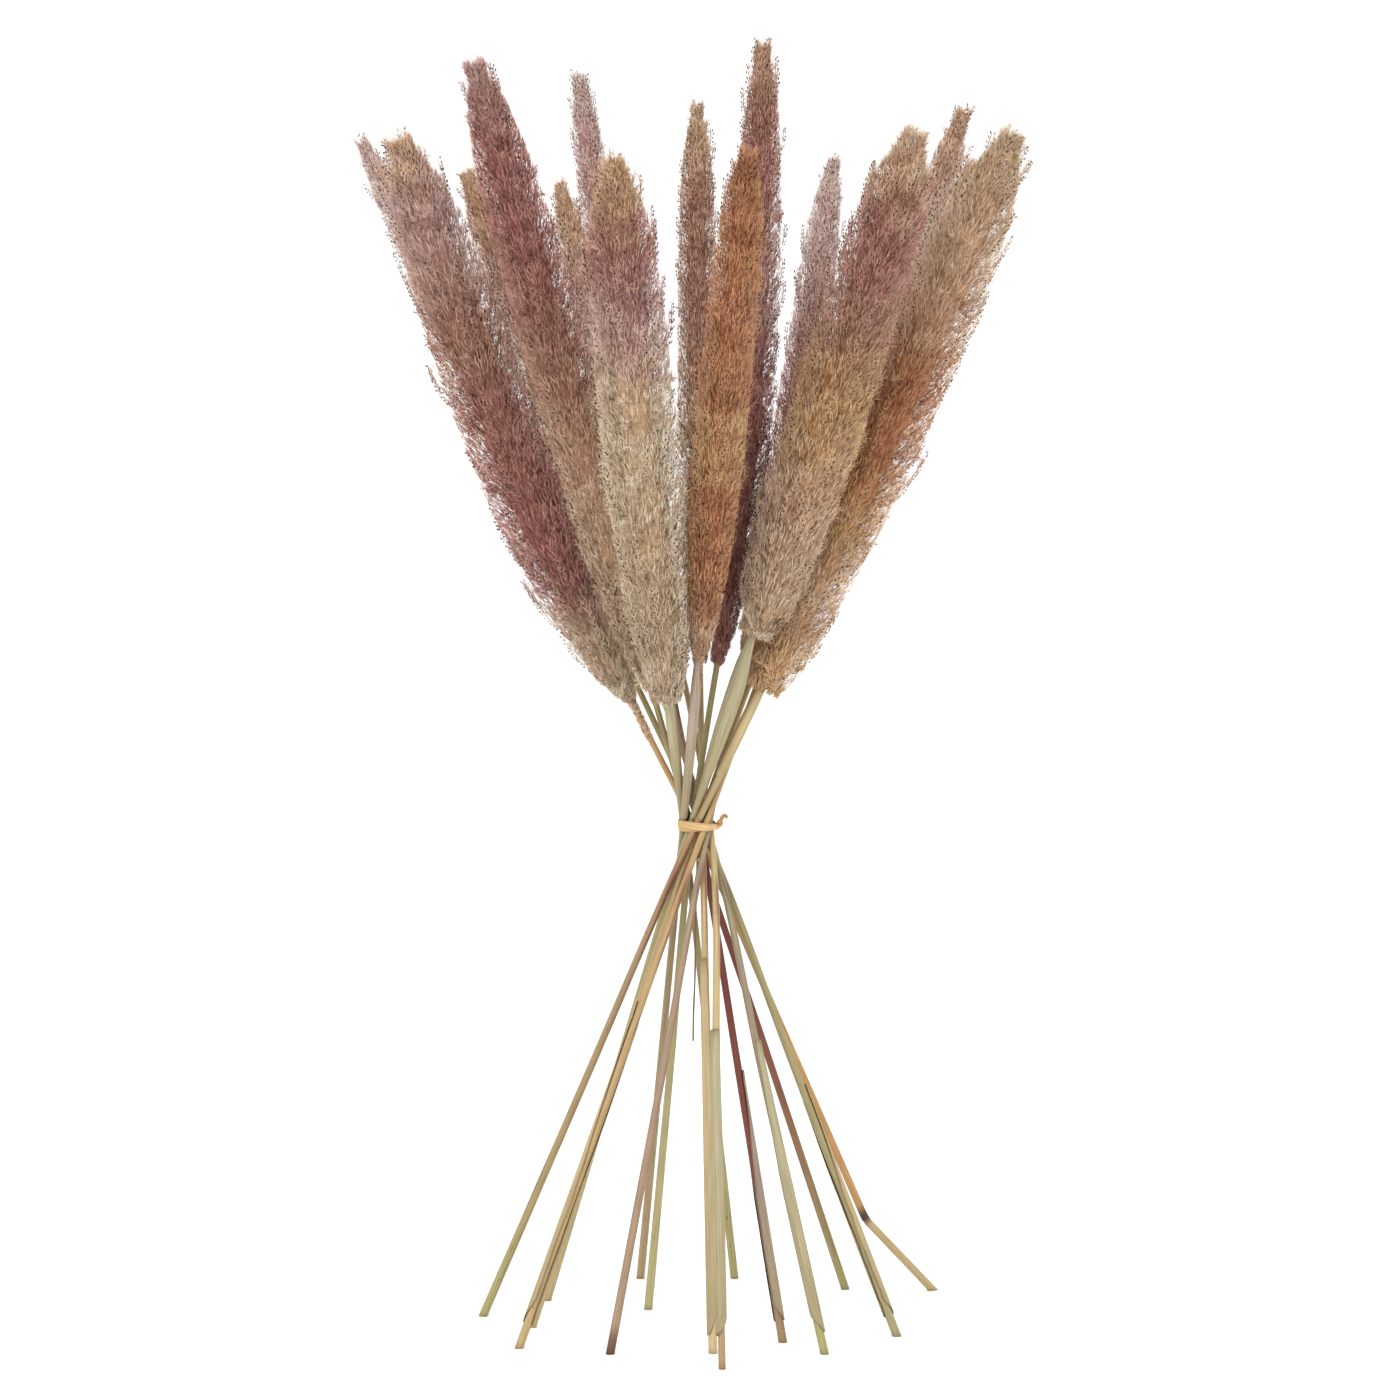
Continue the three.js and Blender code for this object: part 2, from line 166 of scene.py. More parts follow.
# %% Floor, room and lamps
def matt_floor():
    """Matt white emulsion on board: rolled on, so it is even and has no shine."""
    material, tree, shader = new_material("matt_white_emulsion", 0.9, 1.45)
    noise = add_node(tree, "ShaderNodeTexNoise", {"Scale": 60.0, "Detail": 3.0})
    colour = set_stops(add_node(tree, "ShaderNodeValToRGB", {"Fac": noise.outputs["Fac"]}),
                       [(0, "#f6f6f5"), (1, "#fbfbfa")])
    tree.links.new(colour, shader.inputs["Base Color"])
    return material


FLOOR_SIZE = 12
FLOOR_DROP = 0.2 * MM  # how far the floor lies under the feet, so that the two never flicker
bpy.ops.mesh.primitive_plane_add(size=FLOOR_SIZE, location=(0, 0, -FLOOR_DROP))
floor = bpy.context.object
floor.name = "floor"
floor.data.materials.append(matt_floor())
floor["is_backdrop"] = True

room = bpy.data.worlds.new("pale_room")
room.use_nodes = True
walls = room.node_tree.nodes["Background"]
walls.inputs["Color"].default_value = (1, 1, 1, 1)
walls.inputs["Strength"].default_value = 1.2
bpy.context.scene.world = room


LAMPS_AIM = Vector((0, 0, 0.4))  # the waist of the sheaf


def soft_lamp(name, place, width, watts):
    """A large square lamp that faces the waist of the sheaf."""
    lamp = bpy.data.objects.new(name, bpy.data.lights.new(name, "AREA"))
    lamp.data.size = width
    lamp.data.energy = watts
    lamp.location = place
    lamp.rotation_euler = (LAMPS_AIM - Vector(place)).to_track_quat("-Z", "Y").to_euler()
    bpy.context.collection.objects.link(lamp)


soft_lamp("window_lamp", (-1.3, -2.2, 2.1), width=1.6, watts=30)
soft_lamp("fill_lamp", (1.8, -1.6, 1.2), width=1.8, watts=9)
skylight = bpy.data.objects.new("skylight", bpy.data.lights.new("skylight", "SUN"))
skylight.data.energy = 0.5
skylight.data.angle = math.radians(100)
bpy.context.collection.objects.link(skylight)
print("floor, room, skylight and two lamps")


# %% [markdown]
# ## Reading the frame
# Every stem and every plume must lie exactly where the frame holds it. Copying numbers over would
# be one way, but they would go stale. Slicing is better: a level cut through a frame solid leaves
# a small ring of points, and the middle of that ring is on the piece's centreline.

# %% Centrelines from the frame
def frame_rings(node, heights):
    """The ring of points where a level cut meets a frame solid's edges, for each height."""
    mesh = frame["nodes"][node].data
    points = np.empty(len(mesh.vertices) * 3)
    mesh.vertices.foreach_get("co", points)
    points = points.reshape(-1, 3)
    edges = np.empty(len(mesh.edges) * 2, dtype=int)
    mesh.edges.foreach_get("vertices", edges)
    low, high = points[edges.reshape(-1, 2)].swapaxes(0, 1)
    for height in heights:
        meets = (low[:, 2] - height) * (high[:, 2] - height) <= 0
        meets &= low[:, 2] != high[:, 2]
        a, b = low[meets], high[meets]
        share = ((height - a[:, 2]) / (b[:, 2] - a[:, 2]))[:, None]
        yield a + (b - a) * share


def frame_slices(node, heights):
    """The middle and the narrowest half width of a frame solid at each height."""
    turns = np.linspace(0, math.pi, 12, endpoint=False)
    across = np.stack([np.cos(turns), np.sin(turns)])
    rings = list(frame_rings(node, heights))
    middles = [(ring.min(0) + ring.max(0)) / 2 for ring in rings]
    widths = [np.ptp(ring[:, :2] @ across, axis=0).min() / 2 for ring in rings]
    return np.array(middles), np.array(widths)


def node_heights(node, count, inset=0.2 * MM):
    """Heights from just above a node's foot to just below its top."""
    low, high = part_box(node)
    return np.linspace(low[2] + inset, high[2] - inset, count)


def unit(vectors):
    """The same directions with length one."""
    return vectors / np.maximum(np.linalg.norm(vectors, axis=-1, keepdims=True), 1e-12)


STEM_COUNT = 15
CULM_CUTS, PLUME_CUTS = 90, 60
LABELS = [f"{number:02d}" for number in range(1, STEM_COUNT + 1)]
culm_lines = {label: frame_slices("stem_" + label, node_heights("stem_" + label, CULM_CUTS))
              for label in LABELS}
plume_lines = {label: frame_slices("plume_" + label, node_heights("plume_" + label, PLUME_CUTS))
               for label in LABELS}
print("centrelines of", len(culm_lines), "stems and", len(plume_lines), "plumes")


# %% [markdown]
# ## Meshes from arrays
# Three builders make everything here. `strands` and `blades` make thousands of thin closed spindles
# at once, for silk, husks and branchlets: three-sided, because nobody can see a hair's section, and
# pointed. `sweep` makes one carefully shaped stem, leaf or strip along a line.
# Particle hair would be another way, but it isn't a mesh until it is converted, and real
# spindles keep their taper wherever the model goes.

# %% Thousands of spindles at once
UV_MAP = "OFBake"
SIDES = 3
MAP_EDGE, MAP_SPAN = 0.02, 0.96  # the colour map is used from just inside its edges


def on_map(share):
    """A share of the colour map's width or height, clear of its edges."""
    return MAP_EDGE + MAP_SPAN * share


def edge_directions(along):
    """The directions from the middle of strands to their three edges."""
    helper = np.where(np.abs(along[..., 2:]) > 0.9, [1.0, 0.0, 0.0], [0.0, 0.0, 1.0])
    first = unit(np.cross(along, helper))
    second = np.cross(along, first)
    turn = (np.arange(SIDES) * 2 * math.pi / SIDES)[:, None]
    return first[..., None, :] * np.cos(turn) + second[..., None, :] * np.sin(turn)


def strands(paths, radii, across, uv_width):
    """Closed three-sided strands along paths (n, k, 3). radii (n, k - 2) are their rings' radii.

    across (n) is each strand's place over the colour map, and its length runs up the map.
    """
    count, stations = paths.shape[:2]
    rings = stations - 2
    edges = edge_directions(unit(paths[:, 2:] - paths[:, :-2]))
    ring = paths[:, 1:-1, None] + edges * radii[:, :, None, None]
    points = np.concatenate([paths[:, :1], ring.reshape(count, -1, 3), paths[:, -1:]], axis=1)
    faces, corners = [], []  # corners: (side, station) of each face corner, for the colour map
    tip = 1 + rings * SIDES
    top = tip - SIDES
    for side in range(SIDES):
        nxt = (side + 1) % SIDES
        faces.append((1 + nxt, 1 + side, 0))
        corners.append(((side + 1, 1), (side, 1), (side + 0.5, 0)))
        for level in range(rings - 1):
            low, high = 1 + level * SIDES, 1 + (level + 1) * SIDES
            faces += [(low + side, low + nxt, high + nxt), (low + side, high + nxt, high + side)]
            corners += [((side, level + 1), (side + 1, level + 1), (side + 1, level + 2)),
                        ((side, level + 1), (side + 1, level + 2), (side, level + 2))]
        faces.append((top + side, top + nxt, tip))
        corners.append(((side, rings), (side + 1, rings), (side + 0.5, rings + 1)))
    faces, corners = np.array(faces), np.array(corners, dtype=float)
    all_faces = faces[None] + (np.arange(count) * points.shape[1])[:, None, None]
    uv = np.empty((count, *corners.shape))
    uv[..., 0] = across[:, None, None] + (corners[..., 0] / SIDES - 0.5) * uv_width
    uv[..., 1] = on_map(corners[..., 1] / (stations - 1))
    return points.reshape(-1, 3), all_faces.reshape(-1, 3), uv.reshape(-1, 2)


def blades(roots, tips, radii, across, up_from, up_to, uv_width):
    """Closed straight blades, widest at the root: the lightest hair there is, four faces each."""
    edges = edge_directions(unit(tips - roots))
    points = np.concatenate([roots[:, None] + edges * radii[:, None, None], tips[:, None]], axis=1)
    faces = np.array([(0, 1, 3), (1, 2, 3), (2, 0, 3), (2, 1, 0)])
    corners = np.array([(-0.5, 0), (0.5, 0), (0, 1)] * 3 + [(-0.5, 0), (0.5, 0), (0, 0.05)])
    all_faces = faces[None] + (np.arange(len(roots)) * 4)[:, None, None]
    uv = np.repeat(corners[None], len(roots), axis=0)
    uv[..., 0] = across[:, None] + corners[:, 0] * uv_width
    uv[..., 1] = up_from[:, None] + corners[:, 1] * (up_to - up_from)[:, None]
    return points.reshape(-1, 3), all_faces.reshape(-1, 3), uv.reshape(-1, 2)


def mesh_from(name, parts, materials):
    """One object from (points, faces, uv) parts. Each part takes the material of its place."""
    mesh = bpy.data.meshes.new(name)
    starts = np.cumsum([0] + [len(points) for points, _, _ in parts])
    points = np.concatenate([part[0] for part in parts])
    faces = np.concatenate([part[1] + start for part, start in zip(parts, starts)])
    slots = np.concatenate([np.full(len(part[1]), index) for index, part in enumerate(parts)])
    mesh.vertices.add(len(points))
    mesh.vertices.foreach_set("co", points.ravel())
    mesh.loops.add(faces.size)
    mesh.loops.foreach_set("vertex_index", faces.ravel())
    mesh.polygons.add(len(faces))
    mesh.polygons.foreach_set("loop_start", np.arange(len(faces)) * 3)
    mesh.polygons.foreach_set("material_index", slots)
    mesh.polygons.foreach_set("use_smooth", np.ones(len(faces), dtype=bool))
    layer = mesh.uv_layers.new(name=UV_MAP)
    layer.uv.foreach_set("vector", np.concatenate([part[2] for part in parts]).ravel())
    mesh.update(calc_edges=True)
    made = bpy.data.objects.new(name, mesh)
    bpy.context.collection.objects.link(made)
    for material in materials:
        mesh.materials.append(material)
    return made


# %% One body along a line
SIDE_MAP = 0.88  # the share of the colour map's width that a body's side takes: its ends take the rest
ENDS_FROM = 0.905  # where the part of the map for the ends begins
END_MIDDLE, END_RADIUS, FOOT_MIDDLE = 0.95, 0.035, 0.05  # the discs of the two ends on the map
RIM_MAP = ((0.92, 0), (0.92, 0.008), (0.98, 0.008), (0.98, 0))  # one face of a thin body's rim
TRIANGLES = ((0, 1, 2), (0, 2, 3))  # how a face of four corners is split


def sweep(line, sections, lean_to, thin=False):
    """A closed body along a line. sections (n, m, 2) are its outline, first towards lean_to.

    A thin body's outline is its outer skin one way and its inner skin back, and its ends close
    between the two. Any other body's ends close to their middles.
    """
    along = unit(np.gradient(line, axis=0))
    lean_to = np.broadcast_to(lean_to, line.shape)
    first = unit(lean_to - along * (lean_to * along).sum(-1, keepdims=True))
    second = np.cross(along, first)
    count, around = sections.shape[:2]
    points = line[:, None] + first[:, None] * sections[..., :1] + second[:, None] * sections[..., 1:]
    points = points.reshape(-1, 3)
    ring, k = np.meshgrid(np.arange(count - 1), np.arange(around), indexing="ij")
    ring, k = ring.ravel(), k.ravel()
    nxt = (k + 1) % around
    corner = [ring * around + k, ring * around + nxt, (ring + 1) * around + nxt, (ring + 1) * around + k]
    faces = [np.stack([corner[i] for i in pick], 1) for pick in TRIANGLES]
    u = [MAP_EDGE + SIDE_MAP * share / around for share in (k, k + 1, k + 1, k)]
    v = [on_map(share / (count - 1)) for share in (ring, ring, ring + 1, ring + 1)]
    uv = [np.stack([np.stack([u[i], v[i]], 1) for i in pick], 1) for pick in TRIANGLES]
    for level, flip in ((0, True), (count - 1, False)):
        rim = level * around
        if thin:
            k = np.arange(around // 2 - 1)
            quad = [rim + k, rim + k + 1, rim + around - 2 - k, rim + around - 1 - k]
            rise = MAP_EDGE + 0.9 * k / around + (0.5 if level else 0)
            for pick in TRIANGLES:
                pick = pick[::-1] if flip else pick
                faces.append(np.stack([quad[i] for i in pick], 1))
                uv.append(np.stack([np.stack([np.full(len(k), RIM_MAP[i][0]), rise + RIM_MAP[i][1]], 1)
                                    for i in pick], 1))
        else:
            middle = len(points)
            points = np.concatenate([points, points[rim:rim + around].mean(0, keepdims=True)])
            k = np.arange(around)
            a, b = rim + k, rim + (k + 1) % around
            turn = 2 * math.pi * np.stack([k, k + 1]) / around
            at = FOOT_MIDDLE if flip else END_MIDDLE
            discs = [np.stack([END_MIDDLE + END_RADIUS * np.cos(t), at + END_RADIUS * np.sin(t)], 1)
                     for t in turn]
            hub = np.full((around, 2), (END_MIDDLE, at))
            order = (b, a) if flip else (a, b)
            spots = (discs[1], discs[0]) if flip else (discs[0], discs[1])
            faces.append(np.stack([*order, np.full(around, middle)], 1))
            uv.append(np.stack([*spots, hub], 1))
    return points, np.concatenate(faces), np.concatenate([part.reshape(-1, 2) for part in uv])


def round_sections(radii, sides):
    """Round outlines of those radii: (n,) or (n, sides)."""
    turn = np.arange(sides) * 2 * math.pi / sides
    radii = np.asarray(radii, dtype=float)
    radii = radii[:, None] if radii.ndim == 1 else radii
    return np.stack([radii * np.cos(turn), radii * np.sin(turn)], -1)


print("a swept body's side takes", SIDE_MAP, "of the colour map's width")


# %% Lines and rows of values
def between(at, knots, rows):
    """Rows of three numbers, known at the knots, read at other places."""
    return np.stack([np.interp(at, knots, rows[:, i]) for i in range(3)], -1)


def evened(values, reach):
    """Values evened out over that many neighbours on each side."""
    window = 2 * reach + 1
    return np.convolve(np.pad(values, reach, "edge"), np.ones(window) / window, "valid")


def smooth_line(points, count):
    """A Catmull-Rom curve through points, at count places a steady way apart, and its length."""
    points = np.asarray(points, dtype=float)
    ends = np.concatenate([2 * points[:1] - points[1:2], points, 2 * points[-1:] - points[-2:-1]])
    fine = []
    for a, b, c, d in zip(ends, ends[1:], ends[2:], ends[3:]):
        t = np.linspace(0, 1, 24, endpoint=False)[:, None]
        fine.append(0.5 * (2 * b + (c - a) * t + (2 * a - 5 * b + 4 * c - d) * t ** 2
                           + (3 * b - a - 3 * c + d) * t ** 3))
    fine = np.concatenate([*fine, points[-1:]])
    at = np.concatenate([[0], np.cumsum(np.linalg.norm(np.diff(fine, axis=0), axis=1))])
    return between(np.linspace(0, at[-1], count), at, fine), at[-1]


# %% The line of a whole stem
class Axis:
    """A stem's centreline and its plume's above it: places are metres from the plume's base."""

    def __init__(self, label):
        stem, self.radii = culm_lines[label]
        self.line = np.concatenate([stem, plume_lines[label][0]])
        steps = np.linalg.norm(np.diff(self.line, axis=0), axis=1)
        self.at = np.concatenate([[0], np.cumsum(steps)])
        self.at -= self.at[len(stem)]
        self.length = self.at[-1]
        self.along = unit(np.gradient(self.line, self.at, axis=0))
        self.right = unit(np.array([1.0, 0.0, 0.0]) - self.along * self.along[:, :1])
        self.back = np.cross(self.along, self.right)

    def point(self, place, turn, reach):
        """The point at a place along the axis, reach away from it in the direction of turn."""
        line, along, right, back = (between(place, self.at, rows)
                                    for rows in (self.line, self.along, self.right, self.back))
        over = np.maximum(place - self.length, 0)[..., None]
        out = np.cos(turn)[..., None] * right + np.sin(turn)[..., None] * back
        return line + along * over + out * reach[..., None]

    def middle(self, place):
        """The point of the axis itself at a place along it."""
        return self.point(place, 0 * place, 0 * place)

    def place_of(self, height):
        """The place of a height above the ground."""
        return np.interp(height, self.line[:, 2], self.at)

    def radius(self, place):
        """The stem's own radius at places below the plume."""
        return np.interp(place, self.at[:len(self.radii)], self.radii)


axes = {label: Axis(label) for label in LABELS}
print("the longest plume is", round(max(axis.length for axis in axes.values()) / MM), "mm")


# %% [markdown]
# ## The loose end of the tie
# One thin strand hangs straight down from the tie and stops in the open gap between the stems.
# It is a cord: it has a real length and thickness and hangs under its own weight. A curve with a
# bevel would do, but a swept mesh can be a little uneven, as a split leaf is.
# Raffia, reed, sheath and silk are all plant fibre. The first three share three steps: a stain laid
# over a colour, a shade that follows the fibres, and fibres that stand a little proud of the skin;
# the silk takes only the shade.

# %% Patterns that plant fibres share
PLANT_IOR = 1.5  # cellulose


def plant_fibre(name, roughness, gloss=0.5):
    """A plant material: also the place on the colour map, and the ways across and up the map."""
    material, tree, shader = new_material(name, roughness, PLANT_IOR)
    shader.inputs["Specular IOR Level"].default_value = gloss
    place = add_node(tree, "ShaderNodeUVMap", uv_map=UV_MAP).outputs["UV"]
    split = add_node(tree, "ShaderNodeSeparateXYZ", [place])
    return material, tree, shader, place, split.outputs["X"], split.outputs["Y"]


def fibres(tree, place, width, length, fibre_width, fibre_length, detail=2.0):
    """Long thin noise on a body of that real width round it and that real length."""
    scale = (width / SIDE_MAP / fibre_width, length / fibre_length, 1.0)
    spread = add_node(tree, "ShaderNodeVectorMath", [place, scale], operation="MULTIPLY")
    noise = add_node(tree, "ShaderNodeTexNoise",
                     {"Vector": spread.outputs["Vector"], "Scale": 1.0, "Detail": detail})
    return noise.outputs["Fac"]


def stained(tree, pattern, low, high, least, most, colour, stain):
    """A stain over a colour: from least to most of it, as a pattern goes from low to high."""
    share = add_node(tree, "ShaderNodeMapRange", [pattern, low, high, least, most])
    mix = {0: share.outputs[0], 6: colour, 7: linear(stain)}
    return add_node(tree, "ShaderNodeMix", mix, data_type="RGBA").outputs[2]


def shaded(tree, colour, pattern, dark, light):
    """A colour made darker or lighter by factors that follow a noise, from its lows to its highs."""
    share = add_node(tree, "ShaderNodeMapRange", [pattern, 0.3, 0.7, dark, light])
    return add_node(tree, "ShaderNodeVectorMath", {0: colour, "Scale": share.outputs[0]},
                    operation="SCALE").outputs[0]


def fibrous_skin(tree, shader, colour, fibre, depth):
    """Gives a shader its colour, and fibres raised by a real depth."""
    tree.links.new(colour, shader.inputs["Base Color"])
    bump = add_node(tree, "ShaderNodeBump", {"Height": fibre, "Distance": depth, "Strength": 0.6})
    tree.links.new(bump.outputs["Normal"], shader.inputs["Normal"])


def raffia_palm_leaf(name, width, length, stops):
    """Raffia: a split palm leaf, straw-coloured, with fine fibres all the way along, and painted shade along
    the edges and inside of a strip.
    """
    material, tree, shader, place, across, up = plant_fibre(name, 0.62, 0.3)
    colour = set_stops(add_node(tree, "ShaderNodeValToRGB", [up]), stops)
    fine = fibres(tree, place, width, length, 0.28 * MM, 16 * MM, 3.0)
    broad = fibres(tree, place, width, length, 1.2 * MM, 30 * MM, 1.0)
    colour = stained(tree, fine, 0.54, 0.72, 0, 0.75, colour, "#8a5d30")
    # Painted shade: over a strip's outer face the colour darkens towards both edges, where the turns cross,
    # and the inner face, against the stems, is dark all over.
    edges = set_stops(add_node(tree, "ShaderNodeValToRGB", [across]),
                      [(0, "#dddddd"), (0.06, "#000000"), (0.4, "#000000"), (0.46, "#dddddd")])
    mix = {0: edges, 6: colour, 7: linear("#9a7040")}
    colour = add_node(tree, "ShaderNodeMix", mix, data_type="RGBA").outputs[2]
    fibrous_skin(tree, shader, shaded(tree, colour, broad, 0.76, 1.0), fine, 0.12 * MM)
    return material


# %% The hanging strand
TAIL_DIAMETER = 1.0 * MM
TAIL_STEPS, TAIL_SIDES = 90, 8
TAIL_UNEVEN = 0.06  # how far the split leaf's thickness wanders, as a share of it
TAIL_ROUTE = [(0.3, -0.4, 1), (0.3, -0.4, -4), (0.2, -0.4, -10), (0.1, -0.4, -17), (0, -0.5, -24),
              (-0.2, -0.6, -31), (-0.4, -0.7, -38), (-0.6, -0.7, -45), (-0.8, -0.6, -52),
              (-1, -0.4, -59), (-1.1, -0.1, -66), (-1.1, 0.2, -73), (-1.1, 0.4, -80),
              (-1.2, 0.5, -87), (-1.4, 0.5, -94), (-1.7, 0.4, -101), (-2, 0.3, -108),
              (-2.2, 0.2, -115), (-2.3, 0.2, -122), (-2.3, 0.2, -127)]  # mm from the tie's middle
tail_line, tail_length = smooth_line([tie + Vector(step) * MM for step in TAIL_ROUTE], TAIL_STEPS)
wander = TAIL_UNEVEN * np.sin(np.linspace(0, 40, TAIL_STEPS))
uneven = 1 + wander[:, None] * np.tile([1, 0, -1, 0], TAIL_SIDES // 4)
tail_sections = round_sections(TAIL_DIAMETER / 2 * uneven, TAIL_SIDES)
tail = mesh_from("tie_strand", [sweep(tail_line, tail_sections, (1.0, 0, 0))],
                 [raffia_palm_leaf("raffia_strand", 3.1 * MM, tail_length,
                                   [(0, "#b08a58"), (0.4, "#8c6a48"), (0.9, "#5d463a"), (1, "#8a7468")])])
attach(tail, "root")
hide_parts("tie_tail")
tuple(tail_line[0])
[tuple(point) for point in tail_line]
print("the strand hangs", round(tail_length / MM), "mm")


# %% [markdown]
# ## Stems
# A pampas stem is a solid reed: round, finely ribbed along its length, straw-coloured, with
# purple-red stains where the sheaths used to be and a dark ring at each node. It runs on into its
# plume as a thin stalk. Each stem is swept along its own centreline, so the spiral of the sheaf
# stays as it is. The ribs are real relief, because at the silhouette a bump map would be flat.

# %% The reed material
Culm = namedtuple("Culm", "stops stain stained dashed slot")


def ripe_reed(label, culm, girth, length, share_of):
    """Dried reed: satin straw with lengthwise fibres, stains and short dark dashes, pith at the cut."""
    material, tree, shader, place, across, up = plant_fibre("ripe_reed_" + label, 0.46, 0.35)
    colour = set_stops(add_node(tree, "ShaderNodeValToRGB", [up]),
                       [(share_of(height * MM), hex_colour) for height, hex_colour in culm.stops])
    fine = fibres(tree, place, girth, length, 0.35 * MM, 22 * MM, 3.0)
    broad = fibres(tree, place, girth, length, 3.2 * MM, 60 * MM, 1.0)
    dash = fibres(tree, place, girth, length, 0.8 * MM, 5 * MM, 1.0)
    colour = stained(tree, broad, 0.66 - 0.3 * culm.stained, 0.78 - 0.2 * culm.stained, 0, 0.75,
                     colour, culm.stain)
    colour = stained(tree, dash, 0.76 - 0.12 * culm.dashed, 0.8 - 0.1 * culm.dashed, 0, 0.85,
                     colour, "#4a2620")
    colour = shaded(tree, colour, fine, 0.5, 0.88)
    # The cut end: pale pith with darker strands.
    spots = add_node(tree, "ShaderNodeTexVoronoi", {"Vector": place, "Scale": 160.0})
    pith = stained(tree, spots.outputs["Distance"], 0.2, 0.45, 0.75, 0, linear("#dac79d"), "#7d5e40")
    at_end = add_node(tree, "ShaderNodeMath", [across, ENDS_FROM], operation="GREATER_THAN")
    mix = {0: at_end.outputs[0], 6: colour, 7: pith}
    colour = add_node(tree, "ShaderNodeMix", mix, data_type="RGBA").outputs[2]
    fibrous_skin(tree, shader, colour, fine, 0.06 * MM)
    return material


# %% The fifteen stems
GREEN, MAUVE, STRAW = "culm_green", "culm_mauve", "culm_straw"
CULMS = {  # heights above the ground in mm and the reed's colour there, then its stain
    "01": Culm([(0, "#ada56c"), (120, "#b0966c"), (250, "#aa8b6a"), (330, "#bf8d56"), (430, "#b47a48")],
               "#7c3a2c", 0.35, 0.3, STRAW),
    "02": Culm([(0, "#c0a674"), (200, "#bf9f6e"), (400, "#c09b66")], "#7a3b33", 0.3, 0.1, STRAW),
    "03": Culm([(0, "#c4ab7b"), (420, "#bb9b68")], "#8b5a44", 0.15, 0.05, STRAW),
    "04": Culm([(0, "#c4ad7d"), (150, "#b7b27e"), (290, "#aea876"), (400, "#b4a776")], "#8b6a4a", 0.15, 0.05,
               GREEN),
    "05": Culm([(0, "#6a4a38"), (8, "#7d5a44"), (16, "#aa8f6f"), (150, "#a88a74"), (290, "#a89672"),
                (420, "#a3907a")], "#8d6a60", 0.3, 0, MAUVE),
    "06": Culm([(0, "#ae946c"), (200, "#a5926c"), (330, "#a3946e"), (385, "#9a867a"), (430, "#96796f")],
               "#7b5a5c", 0.25, 0.1, MAUVE),
    "07": Culm([(0, "#b9ae7c"), (420, "#ada06e")], "#8a7a50", 0.15, 0, GREEN),
    "08": Culm([(0, "#d2ba8c"), (420, "#c4a978")], "#9c4a3a", 0.2, 0, STRAW),
    "09": Culm([(0, "#b09068"), (26, "#b4946c"), (29, "#4e3226"), (32, "#4e3226"), (37, "#d0b588"),
                (200, "#ceb280"), (420, "#c0a06e")], "#7a4a48", 0.25, 0.1, STRAW),
    "10": Culm([(0, "#aba16a"), (200, "#a69c6b"), (330, "#9f9563"), (430, "#a08f5f")], "#7a2f28", 0.2, 0.6,
               GREEN),
    "11": Culm([(0, "#a98e68"), (100, "#8a4a3c"), (220, "#7c3a30"), (300, "#9f7e5a"), (430, "#aa8a5c")],
               "#6b2f2a", 0.6, 0.2, MAUVE),
    "12": Culm([(0, "#aca66c"), (90, "#a49470"), (200, "#9f8a74"), (300, "#aead7c"), (430, "#a9ab79")],
               "#5a3a30", 0.15, 0.1, GREEN),
    "13": Culm([(0, "#a59c66"), (120, "#946044"), (200, "#7e3c33"), (262, "#8a4a3c"), (285, "#9e9460"),
                (430, "#aa9c68")], "#70302a", 0.4, 0.1, GREEN),
    "14": Culm([(0, "#aaa072"), (430, "#a59462")], "#8a6a50", 0.2, 0.1, GREEN),
    "15": Culm([(0, "#c2aa7a"), (45, "#c4a97a"), (49, "#4a2f24"), (52, "#4a2f24"), (58, "#c4965e"),
                (200, "#c89a60"), (290, "#d0a674"), (430, "#bf9056")], "#9a5a3a", 0.2, 0.05, STRAW),
}
CULM_RINGS, CULM_SIDES = 110, 24
RIB_HEIGHT = 0.035  # the tallest ribs, as a share of the stem's radius
DRIFT = 0.012  # how far a stem's thickness wanders along it, as a share of its radius
UNDER_SIZE = 0.985  # keeps the ribs inside the frame's stem
STALK_IN_PLUME = 42 * MM
STALK_END_RADIUS = 0.8 * MM
NODE_SWELLING = 0.16
NODE_HALF_HEIGHT = 1.6 * MM
NODE_RINGS = {"09": (30.5 * MM, 0.8), "15": (50.5 * MM, 0.95)}  # height, size of the stub below


def grow_culm(label, culm, seed):
    """One stem with its stalk in the plume."""
    rng = np.random.default_rng(seed)
    axis = axes[label]
    places = np.linspace(axis.at[0], STALK_IN_PLUME, CULM_RINGS)
    radii = axis.radius(places)
    radii = radii + (STALK_END_RADIUS - radii) * np.clip(places / STALK_IN_PLUME, 0, 1)
    if label in NODE_RINGS:
        height, stub = NODE_RINGS[label]
        off = places - axis.place_of(height)
        radii = radii * (1 + NODE_SWELLING * np.exp(-(off / NODE_HALF_HEIGHT) ** 2))
        radii *= np.where(off < 0, stub, 1)
    ribs = 1 + RIB_HEIGHT * np.tile([1.0, -1.0], CULM_SIDES // 2) * rng.uniform(0.2, 1, CULM_SIDES)
    drift = 1 + DRIFT * np.sin(np.linspace(0, 9, CULM_RINGS) + rng.uniform(0, 6))
    sections = round_sections(radii[:, None] * ribs * drift[:, None] * UNDER_SIZE, CULM_SIDES)
    length = places[-1] - places[0]

    def share_of(height):
        """How far up the stem's colour map a height above the ground is."""
        return on_map((axis.place_of(height) - places[0]) / length)

    points, faces, uv = sweep(axis.middle(places), sections, axis.right[0])
    # The feet are cut level: the first outline and its middle slide along the stem to the ground.
    foot = np.append(np.arange(CULM_SIDES), len(points) - 2)
    points[foot] -= axis.along[0] * (points[foot, 2:] / axis.along[0, 2])
    stem = mesh_from("culm_" + label, [(points, faces, uv)],
                     [ripe_reed(label, culm, 2 * math.pi * radii.mean(), length, share_of)])
    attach(stem, "root")
    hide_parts("stem_" + label)


for index, (label, culm) in enumerate(CULMS.items()):
    grow_culm(label, culm, 300 + index)
print(len(CULMS), "stems")


